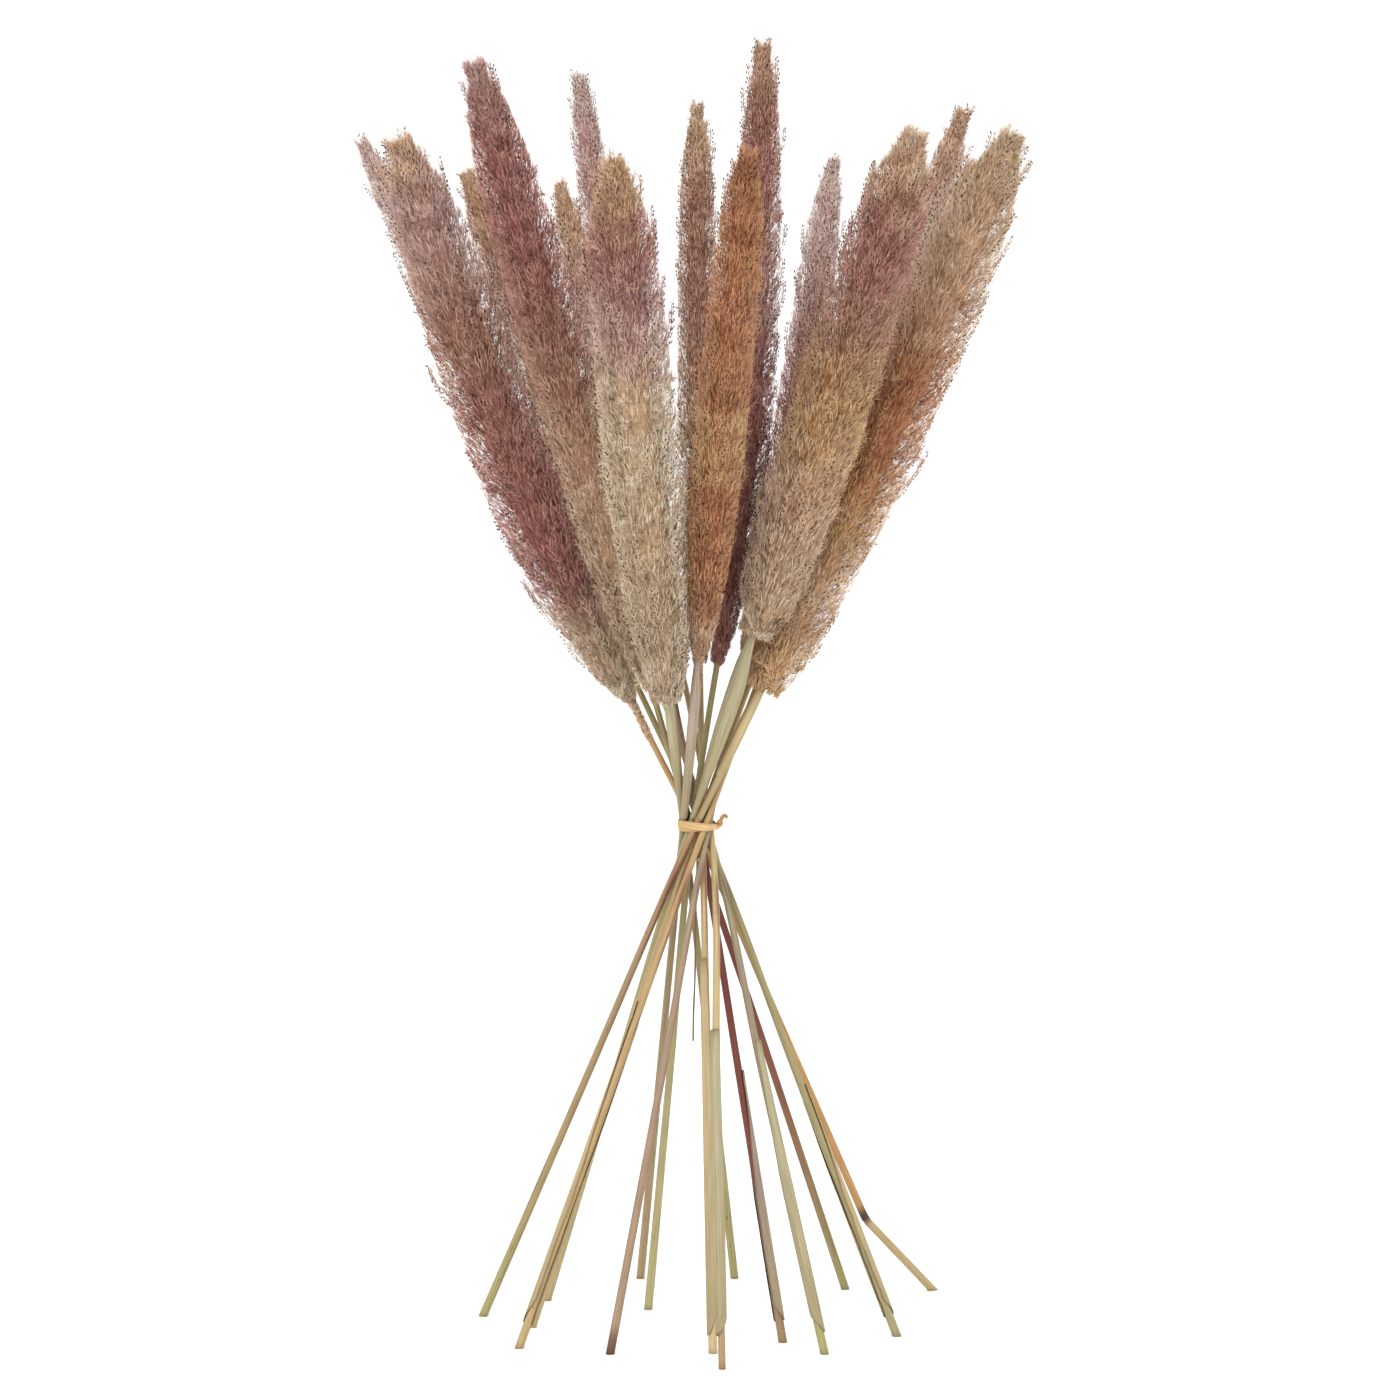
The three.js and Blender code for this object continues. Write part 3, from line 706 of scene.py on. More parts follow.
# %% [markdown]
# ## Leaf sheaths
# A sheath is the papery base of a leaf that still wraps its stem: pale, ribbed, open down one side
# and torn to a point at the top. A flat strip would look like tape. Here the wrap, the opening and
# the point are read from the frame, and the blade is thin, ribbed and a little uneven at its edges.

# %% The sheath material
SHEATH_TONES = {  # the leaf, its pale streaks and its torn edges
    "green": ("#a89e7a", "#b7ac8a", "#86744f"), "straw": ("#bfa577", "#cab48b", "#7a5840"),
    "mauve": ("#a39080", "#b3a08f", "#6d4f4a"),
}


def papery_sheath(label, tone, width, length):
    """A dried leaf sheath: papery, ribbed, darker along its torn edges."""
    base, pale, edge = SHEATH_TONES[tone]
    material, tree, shader, place, across, up = plant_fibre("papery_sheath_" + label, 0.55, 0.3)
    fine = fibres(tree, place, 2 * width, length, 0.45 * MM, 30 * MM, 2.0)
    broad = fibres(tree, place, 2 * width, length, 2.5 * MM, 45 * MM, 1.0)
    colour = stained(tree, broad, 0.35, 0.65, 0, 1, linear(base), pale)
    colour = stained(tree, up, 0.1, 0.6, 0.75, 0, colour, "#a3946c")
    torn = set_stops(add_node(tree, "ShaderNodeValToRGB", [across]),
                     [(0, "#ffffff"), (0.05, "#000000"), (0.41, "#000000"), (0.46, "#ffffff"),
                      (0.52, "#ffffff"), (0.56, "#000000")])
    mix = {0: torn, 6: colour, 7: linear(edge)}
    colour = add_node(tree, "ShaderNodeMix", mix, data_type="RGBA").outputs[2]
    colour = stained(tree, up, 0.93, 1.0, 0, 0.7, colour, edge)
    fibrous_skin(tree, shader, shaded(tree, colour, fine, 0.58, 0.92), fine, 0.12 * MM)
    return material


print("sheath tones:", ", ".join(SHEATH_TONES))


# %% The sheaths
SHEATHS = {"01": "straw", "02": "straw", "04": "green", "06": "mauve", "08": "straw", "09": "green",
           "10": "green", "11": "mauve", "12": "green", "14": "straw"}
SHEATH_RINGS, SHEATH_ACROSS = 56, 22
SHEATH_INSET = 0.6 * MM
SHEATH_THICK = 0.32 * MM
SHEATH_RIB = 0.07 * MM
COLLAR = 40 * MM  # how far an upper sheath reaches down to the tie
COLLAR_RINGS = 12
COLLAR_CLEAR = 0.1 * MM  # from the stem to a sheath that hugs it
LEAST_WRAP = 0.1  # radians to each side


def wrap_of(node, axis, heights):
    """How far out a frame sheath lies, which way it faces and how far it wraps, at each height."""
    right, back = (between(heights, axis.line[:, 2], rows) for rows in (axis.right, axis.back))
    stem_at = axis.middle(axis.place_of(heights))
    reach, turns, halves = [], [], []
    for ring, middle, x_axis, y_axis in zip(frame_rings(node, heights), stem_at, right, back):
        flat = np.stack([(ring - middle) @ x_axis, (ring - middle) @ y_axis], 1)
        far = np.linalg.norm(flat, axis=1)
        face = unit(flat.mean(0, keepdims=True))[0]
        off = np.arccos(np.clip((flat / far[:, None]) @ face, -1, 1))
        reach.append(np.median(far))
        turns.append(math.atan2(face[1], face[0]))
        halves.append(max(off.max(), 0.12))
    return evened(reach, 3), evened(np.unwrap(turns), 3), evened(halves, 2)


def grow_sheath(label, tone, seed):
    """One leaf sheath round its stem."""
    rng = np.random.default_rng(seed)
    axis, node = axes[label], "sheath_" + label
    heights = node_heights(node, SHEATH_RINGS, SHEATH_INSET)
    reach, turn, half = wrap_of(node, axis, heights)
    tie_top = tie_high.z + 0.5 * MM
    if tie_top < heights[0] < tie_top + COLLAR:
        # An upper sheath hugs its stem all the way down to the tie.
        more = np.linspace(tie_top, heights[0], COLLAR_RINGS, endpoint=False)
        hug = axis.radius(axis.place_of(more)) + COLLAR_CLEAR
        share = np.linspace(0, 1, COLLAR_RINGS) ** 2
        reach = np.concatenate([hug + (reach[0] - hug) * share, reach])
        turn = np.concatenate([np.full(COLLAR_RINGS, turn[0]), turn])
        half = np.concatenate([np.full(COLLAR_RINGS, half[0]), half])
        heights = np.concatenate([more, heights])
    ragged = np.convolve(rng.normal(0, 1, len(heights) + 6), np.ones(7) / 7, "valid")
    half = np.maximum(half * (1 + 0.05 * ragged), LEAST_WRAP)
    angle = turn[:, None] + half[:, None] * np.linspace(-1, 1, SHEATH_ACROSS)
    ribs = SHEATH_RIB * np.tile([1.0, -1.0], SHEATH_ACROSS // 2)
    outer = reach[:, None] + SHEATH_THICK / 2 + ribs
    inner = np.maximum(reach[:, None] - SHEATH_THICK / 2 + ribs, 0.5 * MM)
    radii = np.concatenate([outer, inner[:, ::-1]], 1)
    angles = np.concatenate([angle, angle[:, ::-1]], 1)
    sections = np.stack([radii * np.cos(angles), radii * np.sin(angles)], -1)
    lean = between(heights, axis.line[:, 2], axis.right)
    width, length = 2 * half.mean() * reach.mean(), heights[-1] - heights[0]
    sheath = mesh_from("leaf_" + node,
                       [sweep(axis.middle(axis.place_of(heights)), sections, lean, thin=True)],
                       [papery_sheath(label, tone, width, length)])
    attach(sheath, "root")
    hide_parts(node)


for index, (label, tone) in enumerate(SHEATHS.items()):
    grow_sheath(label, tone, 400 + index)
print(len(SHEATHS), "leaf sheaths")


# %% [markdown]
# ## The tie
# Raffia is a flat strip of palm leaf. One strip goes three times round the waist, each turn at its
# own slant, so the turns cross at the front and fan out a little at the left. It ends in a small
# hard knot with a curled end. A plain band would hide all of that.

# %% The wraps
TURNS = 3
WRAP_STEPS = 84
WRAP_WIDTH = 3.5 * MM
WRAP_THICK = 0.42 * MM
WRAP_CLEAR = 0.45 * MM  # from the stems to the middle of the first turn
WRAP_PILE = 0.8 * MM  # how much further out the last turn lies
KNOT_PULL = 1.1 * MM  # how far the knot is pulled into the wraps
KNOT_DENT = 0.9 * MM  # how far inside the band the wraps run behind the knot
KNOT_SPREAD = 0.26  # radians to each side in which the wraps come in to it
WRAP_LIFT = [(0, 0.2), (0.35, -1.4), (0.6, -1.6), (0.9, -0.9), (1.2, 1.3), (1.6, 1.9), (2, -0.6),
             (2.4, 0.9), (2.62, 1.5), (2.9, -1.3), (3, -0.6)]  # turns from the knot, mm up
WRAP_TAPER = [(0, 0.55), (0.5, 1), (18.2, 1), (18.85, 0.6)]  # radians from the knot, share of width
band_radius = (tie_high.x - tie_low.x) / 2
knot_middle = sum(np.array(corner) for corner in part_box("tie_knot")) / 2
knot_bearing = math.atan2(knot_middle[1] - tie.y, knot_middle[0] - tie.x)
knot_out = np.array([math.cos(knot_bearing), math.sin(knot_bearing), 0])
knot_side = np.array([-knot_out[1], knot_out[0], 0])
knot_rise = np.array([0, 0, 1.0])
knot_middle -= knot_out * KNOT_PULL


def strip_sections(widths, thick, ridges):
    """Flat outlines: thick across the first direction, wide across the second, with ridges outside."""
    across = np.linspace(-0.5, 0.5, len(ridges))
    eased = 1 - np.abs(2 * across) ** 6 * 0.6
    outer = thick * (0.5 * eased + ridges)
    inner = np.full(len(ridges), -0.5 * thick) * eased
    first = np.concatenate([outer, inner[::-1]])
    second = np.concatenate([across, across[::-1]])
    widths = np.asarray(widths)[:, None]
    # The outline runs against the second direction so that its faces look out.
    return np.stack([np.broadcast_to(first, (len(widths), len(first))), second * widths], -1)


def pulled_tight(bearings):
    """How far out a strip lies when it is pulled tight round all the stems at the waist."""
    waists = [(axis, axis.place_of(tie.z)) for axis in axes.values()]
    middles = np.array([axis.middle(place) for axis, place in waists]) - np.array(tie)
    sizes = np.array([axis.radius(place) for axis, place in waists])[:, None]
    ways = np.linspace(0, 2 * math.pi, 360, endpoint=False)
    support = (middles[:, :1] * np.cos(ways) + middles[:, 1:2] * np.sin(ways) + sizes).max(0)
    slant = np.cos(ways[None] - bearings[:, None])
    return np.where(slant > 0.2, support / np.maximum(slant, 0.2), 1).min(1)


rng = np.random.default_rng(11)
ridges = rng.uniform(-0.16, 0.16, 15)
turned = np.linspace(0, TURNS * 2 * math.pi, TURNS * WRAP_STEPS)
bearing = knot_bearing + turned
tight = pulled_tight(bearing)
to_knot = np.exp(-((np.angle(np.exp(1j * (bearing - knot_bearing)))) / KNOT_SPREAD) ** 2)
tight += (band_radius - KNOT_DENT - tight) * to_knot
radius = tight + WRAP_CLEAR + WRAP_PILE * turned / turned[-1]
lift = evened(np.interp(turned / (2 * math.pi), *zip(*WRAP_LIFT)) * MM, 10)
widths = WRAP_WIDTH * (1 + 0.08 * np.sin(turned * 1.7 + 1)) * np.interp(turned, *zip(*WRAP_TAPER))
outwards = np.stack([np.cos(bearing), np.sin(bearing), 0 * bearing], -1)
wrap_line = np.array(tie) + outwards * radius[:, None] + knot_rise * lift[:, None]
wraps = mesh_from("tie_wraps",
                  [sweep(wrap_line, strip_sections(widths, WRAP_THICK, ridges), outwards)],
                  [raffia_palm_leaf("raffia_wraps", 2.2 * WRAP_WIDTH, TURNS * 2 * math.pi * band_radius,
                                    [(0, "#bd9660"), (0.5, "#caa672"), (0.7, "#c29a64"), (1, "#d3b282")])])
print("wraps of", TURNS, "turns")


# %% The knot and the curled end
LOOP_STEPS, LOOP_THICK = 30, 0.5 * MM
CURL_STEPS, CURL_THICK = 40, 0.45 * MM


def loop(size, slant, width, rise=0):
    """A flat strip bent into a closed loop over the knot: sizes in mm, its slant in degrees."""
    over = knot_side * math.cos(math.radians(slant)) + knot_rise * math.sin(math.radians(slant))
    turn = np.linspace(0, 2 * math.pi, LOOP_STEPS)[:, None]
    facing = knot_out * np.cos(turn) + over * np.sin(turn)
    line = (knot_out * np.cos(turn) * size[0] + over * np.sin(turn) * size[1]) * MM
    line += knot_middle + knot_rise * rise * MM
    return sweep(line, strip_sections(np.full(LOOP_STEPS, width * MM), LOOP_THICK, ridges), facing)


knot_leaf = raffia_palm_leaf("raffia_knot", 5 * MM, 12 * MM,
                             [(0, "#b68e5c"), (0.5, "#caa473"), (1, "#a27a50")])
knot = mesh_from("tie_knot_loops",
                 [loop((1.35, 1.95), 38, 2.3), loop((1.2, 1.9), -34, 2.0), loop((1.5, 1.7), 88, 1.7, 0.3)],
                 [knot_leaf] * 3)

CURL = [(-0.2, 0, -0.5), (0.3, 0, 1.2), (0.9, 0.3, 2.7), (1.8, 0.5, 3.9), (3.0, 0.7, 4.5),
        (3.9, 0.8, 3.8), (3.9, 0.8, 2.9)]  # out, along and up from the knot's middle, in mm
curl_line, curl_length = smooth_line(
    [knot_middle + (knot_out * a + knot_side * b + knot_rise * c) * MM for a, b, c in CURL], CURL_STEPS)
curl_widths = np.interp(np.linspace(0, 1, CURL_STEPS), [0, 0.5, 0.85, 1], [1.8, 2.6, 2.0, 0.9]) * MM
curl = mesh_from("tie_curled_end",
                 [sweep(curl_line, strip_sections(curl_widths, CURL_THICK, ridges), knot_side)],
                 [raffia_palm_leaf("raffia_end", 4 * MM, curl_length,
                                   [(0, "#c29c68"), (0.6, "#cfae7e"), (0.86, "#8d6240"), (0.93, "#3a241c"),
                                    (1, "#2c1b17")])])
for piece, node in ((wraps, "tie_band"), (knot, "tie_knot"), (curl, "tie_end")):
    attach(piece, "root")
    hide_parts(node)
print("knot and a curled end of", round(curl_length / MM, 1), "mm")


# %% [markdown]
# ## Silk and husks
# A plume's colour comes from its silk: fine cellulose hairs, deep and warm near the husk and nearly
# white at the tip, partly in their own tones and partly with painted shade at the root and painted
# light at the end. Dyed and sun-dried plumes go through several tones from base to tip.
# The tones are named once, as a pair of colours for the root and the end of a hair, and each
# plume says where along its length it has which. The colour map holds all of that: across it is
# the way from a plume's base to its tip, and up it is the way from a hair's root to its end.
# Husks are small, dry and dark, and a little glossier than the silk.

# %% Tones of dried pampas
Tone = namedtuple("Tone", "root end")
YOUNG_HUSKS = 0.5  # the part of the husks' colour map, from here on, that young husks have
# Each tone is partly the silk's own colour: its root colour also holds painted shade, and its end colour
# painted light.
TONES = {
    "cream": Tone("#ae8c62", "#fff2dc"),
    "beige": Tone("#a57e54", "#fdeacf"),
    "tan": Tone("#a3714a", "#fee3c6"),
    "golden": Tone("#996430", "#f9d6a6"),
    "rust": Tone("#7e3a18", "#edb88e"),
    "brown": Tone("#6d3827", "#e6bba4"),
    "plum": Tone("#632724", "#e4ac9f"),
    "mauve": Tone("#905a50", "#f9ded5"),
    "rose": Tone("#b98b79", "#fff6f0"),
}


def pampas_silk(name, bands):
    """Silk hairs of a dried plume: soft and matt, deep at the root with painted shade and pale at the end
    with painted light.
    """
    material, tree, shader, _, across, up = plant_fibre("pampas_silk_" + name, 0.8, 0.08)
    roots = set_stops(add_node(tree, "ShaderNodeValToRGB", [across]),
                      [(share, TONES[tone].root) for share, tone in bands])
    ends = set_stops(add_node(tree, "ShaderNodeValToRGB", [across]),
                     [(share, TONES[tone].end) for share, tone in bands])
    # Up a hair, the root colour's painted shade gives way to the end colour's painted light.
    rise = add_node(tree, "ShaderNodeMath", [up, 0.75], operation="POWER")
    mix = {0: rise.outputs[0], 6: roots, 7: ends}
    hair = add_node(tree, "ShaderNodeMix", mix, data_type="RGBA").outputs[2]
    # Hairs differ a little from one another: a fine noise across the map shades them singly.
    fine = add_node(tree, "ShaderNodeTexNoise", {"W": across, "Scale": 260.0}, noise_dimensions="1D")
    tree.links.new(shaded(tree, hair, fine.outputs["Fac"], 0.84, 1.14), shader.inputs["Base Color"])
    return material


def dry_husk():
    """Spikelet husks: papery chaff, dark where it overlaps and brown at the point."""
    material, tree, shader, _, across, up = plant_fibre("dry_husk", 0.5)
    colour = set_stops(add_node(tree, "ShaderNodeValToRGB", [up]),
                       [(0, "#2c1712"), (0.5, "#220f0d"), (1, "#54301f")])
    # The lowest husks, on the stem below a plume, stay straw-coloured.
    young = add_node(tree, "ShaderNodeMath", [across, YOUNG_HUSKS], operation="GREATER_THAN")
    mix = {0: young.outputs[0], 6: colour, 7: linear("#a8744a")}
    colour = add_node(tree, "ShaderNodeMix", mix, data_type="RGBA").outputs[2]
    tree.links.new(colour, shader.inputs["Base Color"])
    return material


def branchlet_straw():
    """Branchlets: thin dry straw, as smooth as it grew."""
    material, tree, shader, _, _, up = plant_fibre("branchlet_straw", 0.5)
    colour = set_stops(add_node(tree, "ShaderNodeValToRGB", [up]),
                       [(0, "#c8ad84"), (0.6, "#b8966c"), (1, "#84543a")])
    tree.links.new(colour, shader.inputs["Base Color"])
    return material


husk, straw = dry_husk(), branchlet_straw()
print("tones:", ", ".join(TONES))


# %% [markdown]
# ## The plumes
# A real plume is a central stalk with whorls of branchlets that lean up and out. Each branchlet
# carries two rows of husks, and each husk holds a fan of silk. Growing it in that order gives the
# real look for free: soft ranks at the sides, dotted lines of husks, and little stars of silk
# where a branchlet points at the viewer. A textured cone would never show either.
# Between the branchlets lies an undercoat of shorter silk, which closes the plume like fur. Its
# outermost hairs lie flatter, as if combed, so that the rows of husks stay in sight. A felted
# middle fills the heart of the plume, where nobody can tell silk from stalk.

# %% What a plume is made of
HUSK_PITCH = 2.5 * MM
HUSK_LENGTH = 1.7 * MM
HUSK_RADIUS = 0.36 * MM
HUSKS_FROM = 0.14  # where along a branchlet its husks begin
SILK_LENGTH = 7.5 * MM
SILK_RADIUS = 0.17 * MM  # several hairs' width, as coarse as it needs to be to show
FUR_RADIUS = 0.24 * MM
BRANCHLET_RADIUS = 0.13 * MM
STALK_RADIUS = 0.7 * MM
UNDERCOAT = 0.52  # the undercoat's share of a plume's hairs
CORE = 0.5  # how far out the felted middle of a plume reaches, as a share of its width
TAPER_LENGTH = 0.12  # how fast a plume fills out above its base, as a share of its length
SKIRT_FROM = -4 * MM  # husks that start lower than this stay straw-coloured
OUTLINE = np.array([[0, 0.6], [0.06, 0.76], [0.14, 0.88], [0.26, 0.96], [0.42, 1], [0.62, 0.98],
                    [0.76, 0.93], [0.88, 0.82], [0.95, 0.64], [1, 0.3]])  # share of length, of width

Plume = namedtuple("Plume", "slot width branchlets silk open ragged skirt taper bands")


def outline_at(plume, share):
    """A plume's width at a share of its length, as a share of its full width."""
    filled = 1 - plume.taper * np.exp(-np.maximum(share, 0) / TAPER_LENGTH)
    return np.interp(share, OUTLINE[:, 0], OUTLINE[:, 1]) * filled


def inner_width(plume):
    """How far out branchlets reach at the widest: a little silk stands out past them."""
    return plume.width / 2 - 0.1 * SILK_LENGTH


print("husks every", HUSK_PITCH / MM, "mm, silk of about", SILK_LENGTH / MM, "mm")


# %% Branchlets
GOLDEN_TURN = math.pi * (3 - math.sqrt(5))
STARRY_SHARE = 0.16  # this share leans far out and shows as stars from the front
BARE_FROM = 0.74  # the share above this lies on top with little silk, as dotted lines of husks
TIP_FROM = 0.86  # above this share of the stalk branchlets stay straight
BARE_BEND = 2.6  # how early a bare branchlet bends outwards
SKIRT_PITCH = 0.42 * MM  # the length of skirt for each short branchlet


class Branchlets:
    """All branchlets of a plume: each one's start and rise along the axis, reach, turn and kind."""

    def __init__(self, rng, axis, plume):
        self.axis = axis
        count = plume.branchlets
        # They start all the way up the stalk, a golden turn apart, and the last ones are short.
        order = (np.arange(count) + rng.uniform(-0.4, 0.4, count)) / count
        lean = np.radians(plume.open + rng.normal(0, 5, count))
        kind = rng.uniform(0, 1, count)
        self.starry = (kind < STARRY_SHARE) & (order < TIP_FROM)
        self.bare = kind > BARE_FROM
        lean = np.where(self.starry, np.radians(rng.uniform(48, 66, count)), lean)
        rise = inner_width(plume) / np.tan(lean)
        self.start = -0.2 * rise + order * (axis.length - 0.55 * rise)
        above = (1 - 16 * rng.uniform(0, 1, count) ** 2) * MM  # uneven ends at the very top
        ends = np.minimum(self.start + rise, axis.length + above)
        self.rise = ends - self.start
        wide = inner_width(plume) * outline_at(plume, np.clip(ends / axis.length, 0, 1))
        reach = wide * rng.uniform(0.5, 0.9, count) ** 0.7
        reach = np.where(self.bare, wide * rng.uniform(0.95, 1.0 + plume.ragged, count), reach)
        self.reach = np.where(self.starry, wide * rng.uniform(1.0, 1.08, count), reach)
        self.turn = np.arange(count) * GOLDEN_TURN + rng.normal(0, 0.12, count)
        self.curl = rng.uniform(0.1, 0.6, count)
        self.sway = rng.normal(0, 0.13, count) * np.where(order > TIP_FROM, 0.3, 1)
        if plume.skirt:
            self.add_skirt(rng, plume.skirt)
        self.count = len(self.start)

    def add_skirt(self, rng, skirt):
        """A few short branchlets pressed against the stem below the plume."""
        below = max(20, int(skirt / SKIRT_PITCH))
        drop = -skirt * rng.uniform(0, 1, below) ** 1.3
        self.start = np.append(self.start, drop)
        self.rise = np.append(self.rise, rng.uniform(6, 11, below) * MM)
        flare = 1.2 + 4 * np.exp(drop / (12 * MM))
        self.reach = np.append(self.reach, flare * rng.uniform(0.6, 1, below) * MM)
        self.turn = np.append(self.turn, rng.uniform(0, 2 * math.pi, below))
        self.curl = np.append(self.curl, np.full(below, 0.1))
        self.sway = np.append(self.sway, np.zeros(below))
        self.starry = np.append(self.starry, np.zeros(below, dtype=bool))
        self.bare = np.append(self.bare, rng.uniform(0, 1, below) < 0.7)

    def place(self, which, way):
        """The place along the axis of a share of the way along branchlets."""
        return self.start[which] + self.rise[which] * way

    def point(self, which, way):
        """The point a share of the way along branchlets: a bare one bends out early, others late."""
        bend = np.where(self.bare[which], 1 - (1 - np.minimum(way, 1)) ** BARE_BEND,
                        (1 - self.curl[which]) * way + self.curl[which] * way ** 2)
        out = self.reach[which] * bend + STALK_RADIUS * (1 - way)
        return self.axis.point(self.place(which, way), self.turn[which] + self.sway[which] * way, out)

    def twigs(self, rng):
        """The branchlets themselves, each a thin strand of straw."""
        everyone = np.repeat(np.arange(self.count)[:, None], 6, axis=1)
        ways = np.repeat(np.linspace(0.1, 1.0, 6)[None], self.count, axis=0)
        radii = BRANCHLET_RADIUS * np.linspace(1.2, 0.7, 4)[None].repeat(self.count, axis=0)
        return strands(self.point(everyone, ways), radii, rng.uniform(0.55, 0.97, self.count), 0.02)


print(round(100 * (1 - BARE_FROM)), "branchlets in a hundred are bare")


# %% Husks and their fans of silk
Husks = namedtuple("Husks", "owner way root forward outward side bare starry low")
Hairs = namedtuple("Hairs", "base aim size place turn shift paler")


def husk_rows(rng, grown):
    """Two rows of husks along every branchlet: where they are, and their strands."""
    each = np.maximum(4, ((1 - HUSKS_FROM) * np.hypot(grown.rise, grown.reach) / HUSK_PITCH).astype(int))
    owner = np.repeat(np.arange(grown.count), each)
    rank = np.arange(len(owner)) - np.repeat(np.cumsum(each) - each, each)
    way = HUSKS_FROM + (1 - HUSKS_FROM) * (rank + rng.uniform(0.3, 0.7, len(owner))) / each[owner]
    root = grown.point(owner, way)
    forward = unit(grown.point(owner, way + 0.02) - grown.point(owner, way - 0.02))
    outward = unit(root - grown.axis.point(grown.place(owner, way), grown.turn[owner], 0 * way))
    side = unit(np.cross(forward, outward)) * np.where(rank % 2, 1, -1)[:, None]
    bare, low = grown.bare[owner], grown.start[owner] < SKIRT_FROM
    aim = unit(forward + 0.42 * side + 0.25 * outward + rng.normal(0, 0.14, root.shape))
    lifted = np.where(low, 0.3, np.where(bare, 1.0, 0.8))[:, None] * MM
    foot = root + side * 0.35 * MM + outward * lifted
    size = HUSK_LENGTH * (rng.uniform(0.8, 1.25, len(owner)) * np.where(bare, 1.25, 0.8))[:, None]
    paths = np.stack([foot, foot + aim * 0.4 * size, foot + aim * size], axis=1)
    radii = HUSK_RADIUS * rng.uniform(0.75, 1.15, (len(owner), 1)) * np.where(bare, 1.4, 0.8)[:, None]
    across = rng.uniform(0.03, 0.45, len(owner)) + YOUNG_HUSKS * low
    rows = Husks(owner, way, root, forward, outward, side, bare, grown.starry[owner], low)
    return rows, strands(paths, radii, across, 0.02)


def silk_fans(rng, plume, grown, rows):
    """A fan of silk from each husk, fewest at the end of a branchlet, so that its point shows."""
    count = len(rows.owner)
    star = rows.starry & (rows.way > 0.7)
    chance = plume.silk * (1 - UNDERCOAT) / count * np.where(rows.way > 0.9, 0.55, 1.0)
    chance = chance * (0.35 + 1.1 * np.clip(rows.way, 0, 1))
    chance *= np.where(rows.bare, 1.05, 1.0) * np.where(star, 1.8, 1) * np.where(rows.low, 2.4, 1)
    each = np.floor(chance + rng.uniform(0, 1, count)).astype(int)
    of = np.repeat(np.arange(count), each)
    total, owner = len(of), rows.owner[of]
    forward, bare = rows.forward[of], rows.bare[of]
    around = rng.normal(0, 1, (total, 3))
    around -= forward * (around * forward).sum(1, keepdims=True)
    fan = unit(unit(around) + 0.5 * rows.side[of] + np.where(bare, 0, 0.4)[:, None] * rows.outward[of])
    angles = np.where(rows.starry[of], rng.uniform(30, 88, total), rng.uniform(12, 62, total))
    angles = np.radians(angles)[:, None]
    aim = unit(forward * np.cos(angles) + fan * np.sin(angles))
    size = SILK_LENGTH * rng.uniform(0.5, 1.1, total)
    size = size * np.where(rows.low[of], 0.6, 1) * np.where(bare, 0.8, 1)
    base = rows.root[of] + forward * rng.uniform(-0.5, 0.5, (total, 1)) * HUSK_PITCH
    shift = rng.normal(0, 0.03, grown.count)[owner]  # a branchlet keeps to one tone
    paler = np.where(star[of], 0.34, np.where(bare, 0.1, 0))
    return Hairs(base, aim, size, grown.place(owner, rows.way[of]), grown.turn[owner], shift, paler)


print("fans hold", round(1 - UNDERCOAT, 2), "of the silk")


# %% The undercoat, the colours over a plume and its felted middle
TONE_SPAN = 0.56  # how far up the colour map a hair runs from where its tone starts
CORE_RINGS, CORE_SIDES = 60, 14


def undercoat(rng, axis, plume):
    """Silk between the branchlets, up and out like fur."""
    count = int(plume.silk * UNDERCOAT)
    place = rng.uniform(-0.04, 0.985, count) * axis.length
    wide = inner_width(plume) * outline_at(plume, place / axis.length + 0.04)
    depth = rng.uniform(0.12, 0.92, count) ** 0.5 * wide
    turn = rng.uniform(0, 2 * math.pi, count)
    base = axis.point(place, turn, depth)
    radial = unit(base - axis.middle(place))
    up = unit(axis.point(place + 2 * MM, turn, depth) - base)
    size = SILK_LENGTH * rng.uniform(0.5, 0.95, count)
    # The outermost hairs lie flatter, as if combed.
    room = np.clip((0.97 * wide - depth) / size, 0.12, 1)
    tilt = np.minimum(np.radians(rng.uniform(12, 42, count)), np.arcsin(room))[:, None]
    aim = unit(up * np.cos(tilt) + radial * np.sin(tilt) + rng.normal(0, 0.16, (count, 3)))
    return Hairs(base, aim, size, place, turn, 0 * place, 0 * place)


def patches(rng, place, turn):
    """Slow unevenness over a plume, about -1 to 1: places in metres, turns in radians."""
    total = 0
    for _ in range(7):
        waves = rng.uniform(90, 420) * rng.choice([-1, 1])
        total = total + np.sin(waves * place + rng.integers(0, 4) * turn + rng.uniform(0, 2 * math.pi))
    return total / 3.2


def silk_tones(rng, axis, plume, hairs, tips):
    """Across and up the colour map: a hair's place along the plume, and how pale its patch is, with painted
    light that makes the hairs at the plume's fringe paler.
    """
    count = len(tips)
    uneven = patches(rng, hairs.place, hairs.turn)
    across = hairs.place / axis.length + hairs.shift + 0.04 * uneven + rng.normal(0, 0.012, count)
    nearest = axis.middle(np.clip(hairs.place, 0, axis.length))
    # Painted light: hairs whose tips reach out to the plume's fringe start further up the map, so they are
    # paler.
    outer = np.clip(np.linalg.norm(tips - nearest, axis=1) / (plume.width / 2) - 0.6, 0, 0.45)
    pale = 0.03 + 1.1 * outer + 0.2 * patches(rng, hairs.place, hairs.turn) + rng.normal(0, 0.12, count)
    pale += hairs.paler + 0.2 * np.exp(-np.maximum(hairs.place, 0) / (0.08 * axis.length))
    return on_map(np.clip(across, 0, 1)), np.clip(pale, 0.01, 0.43)


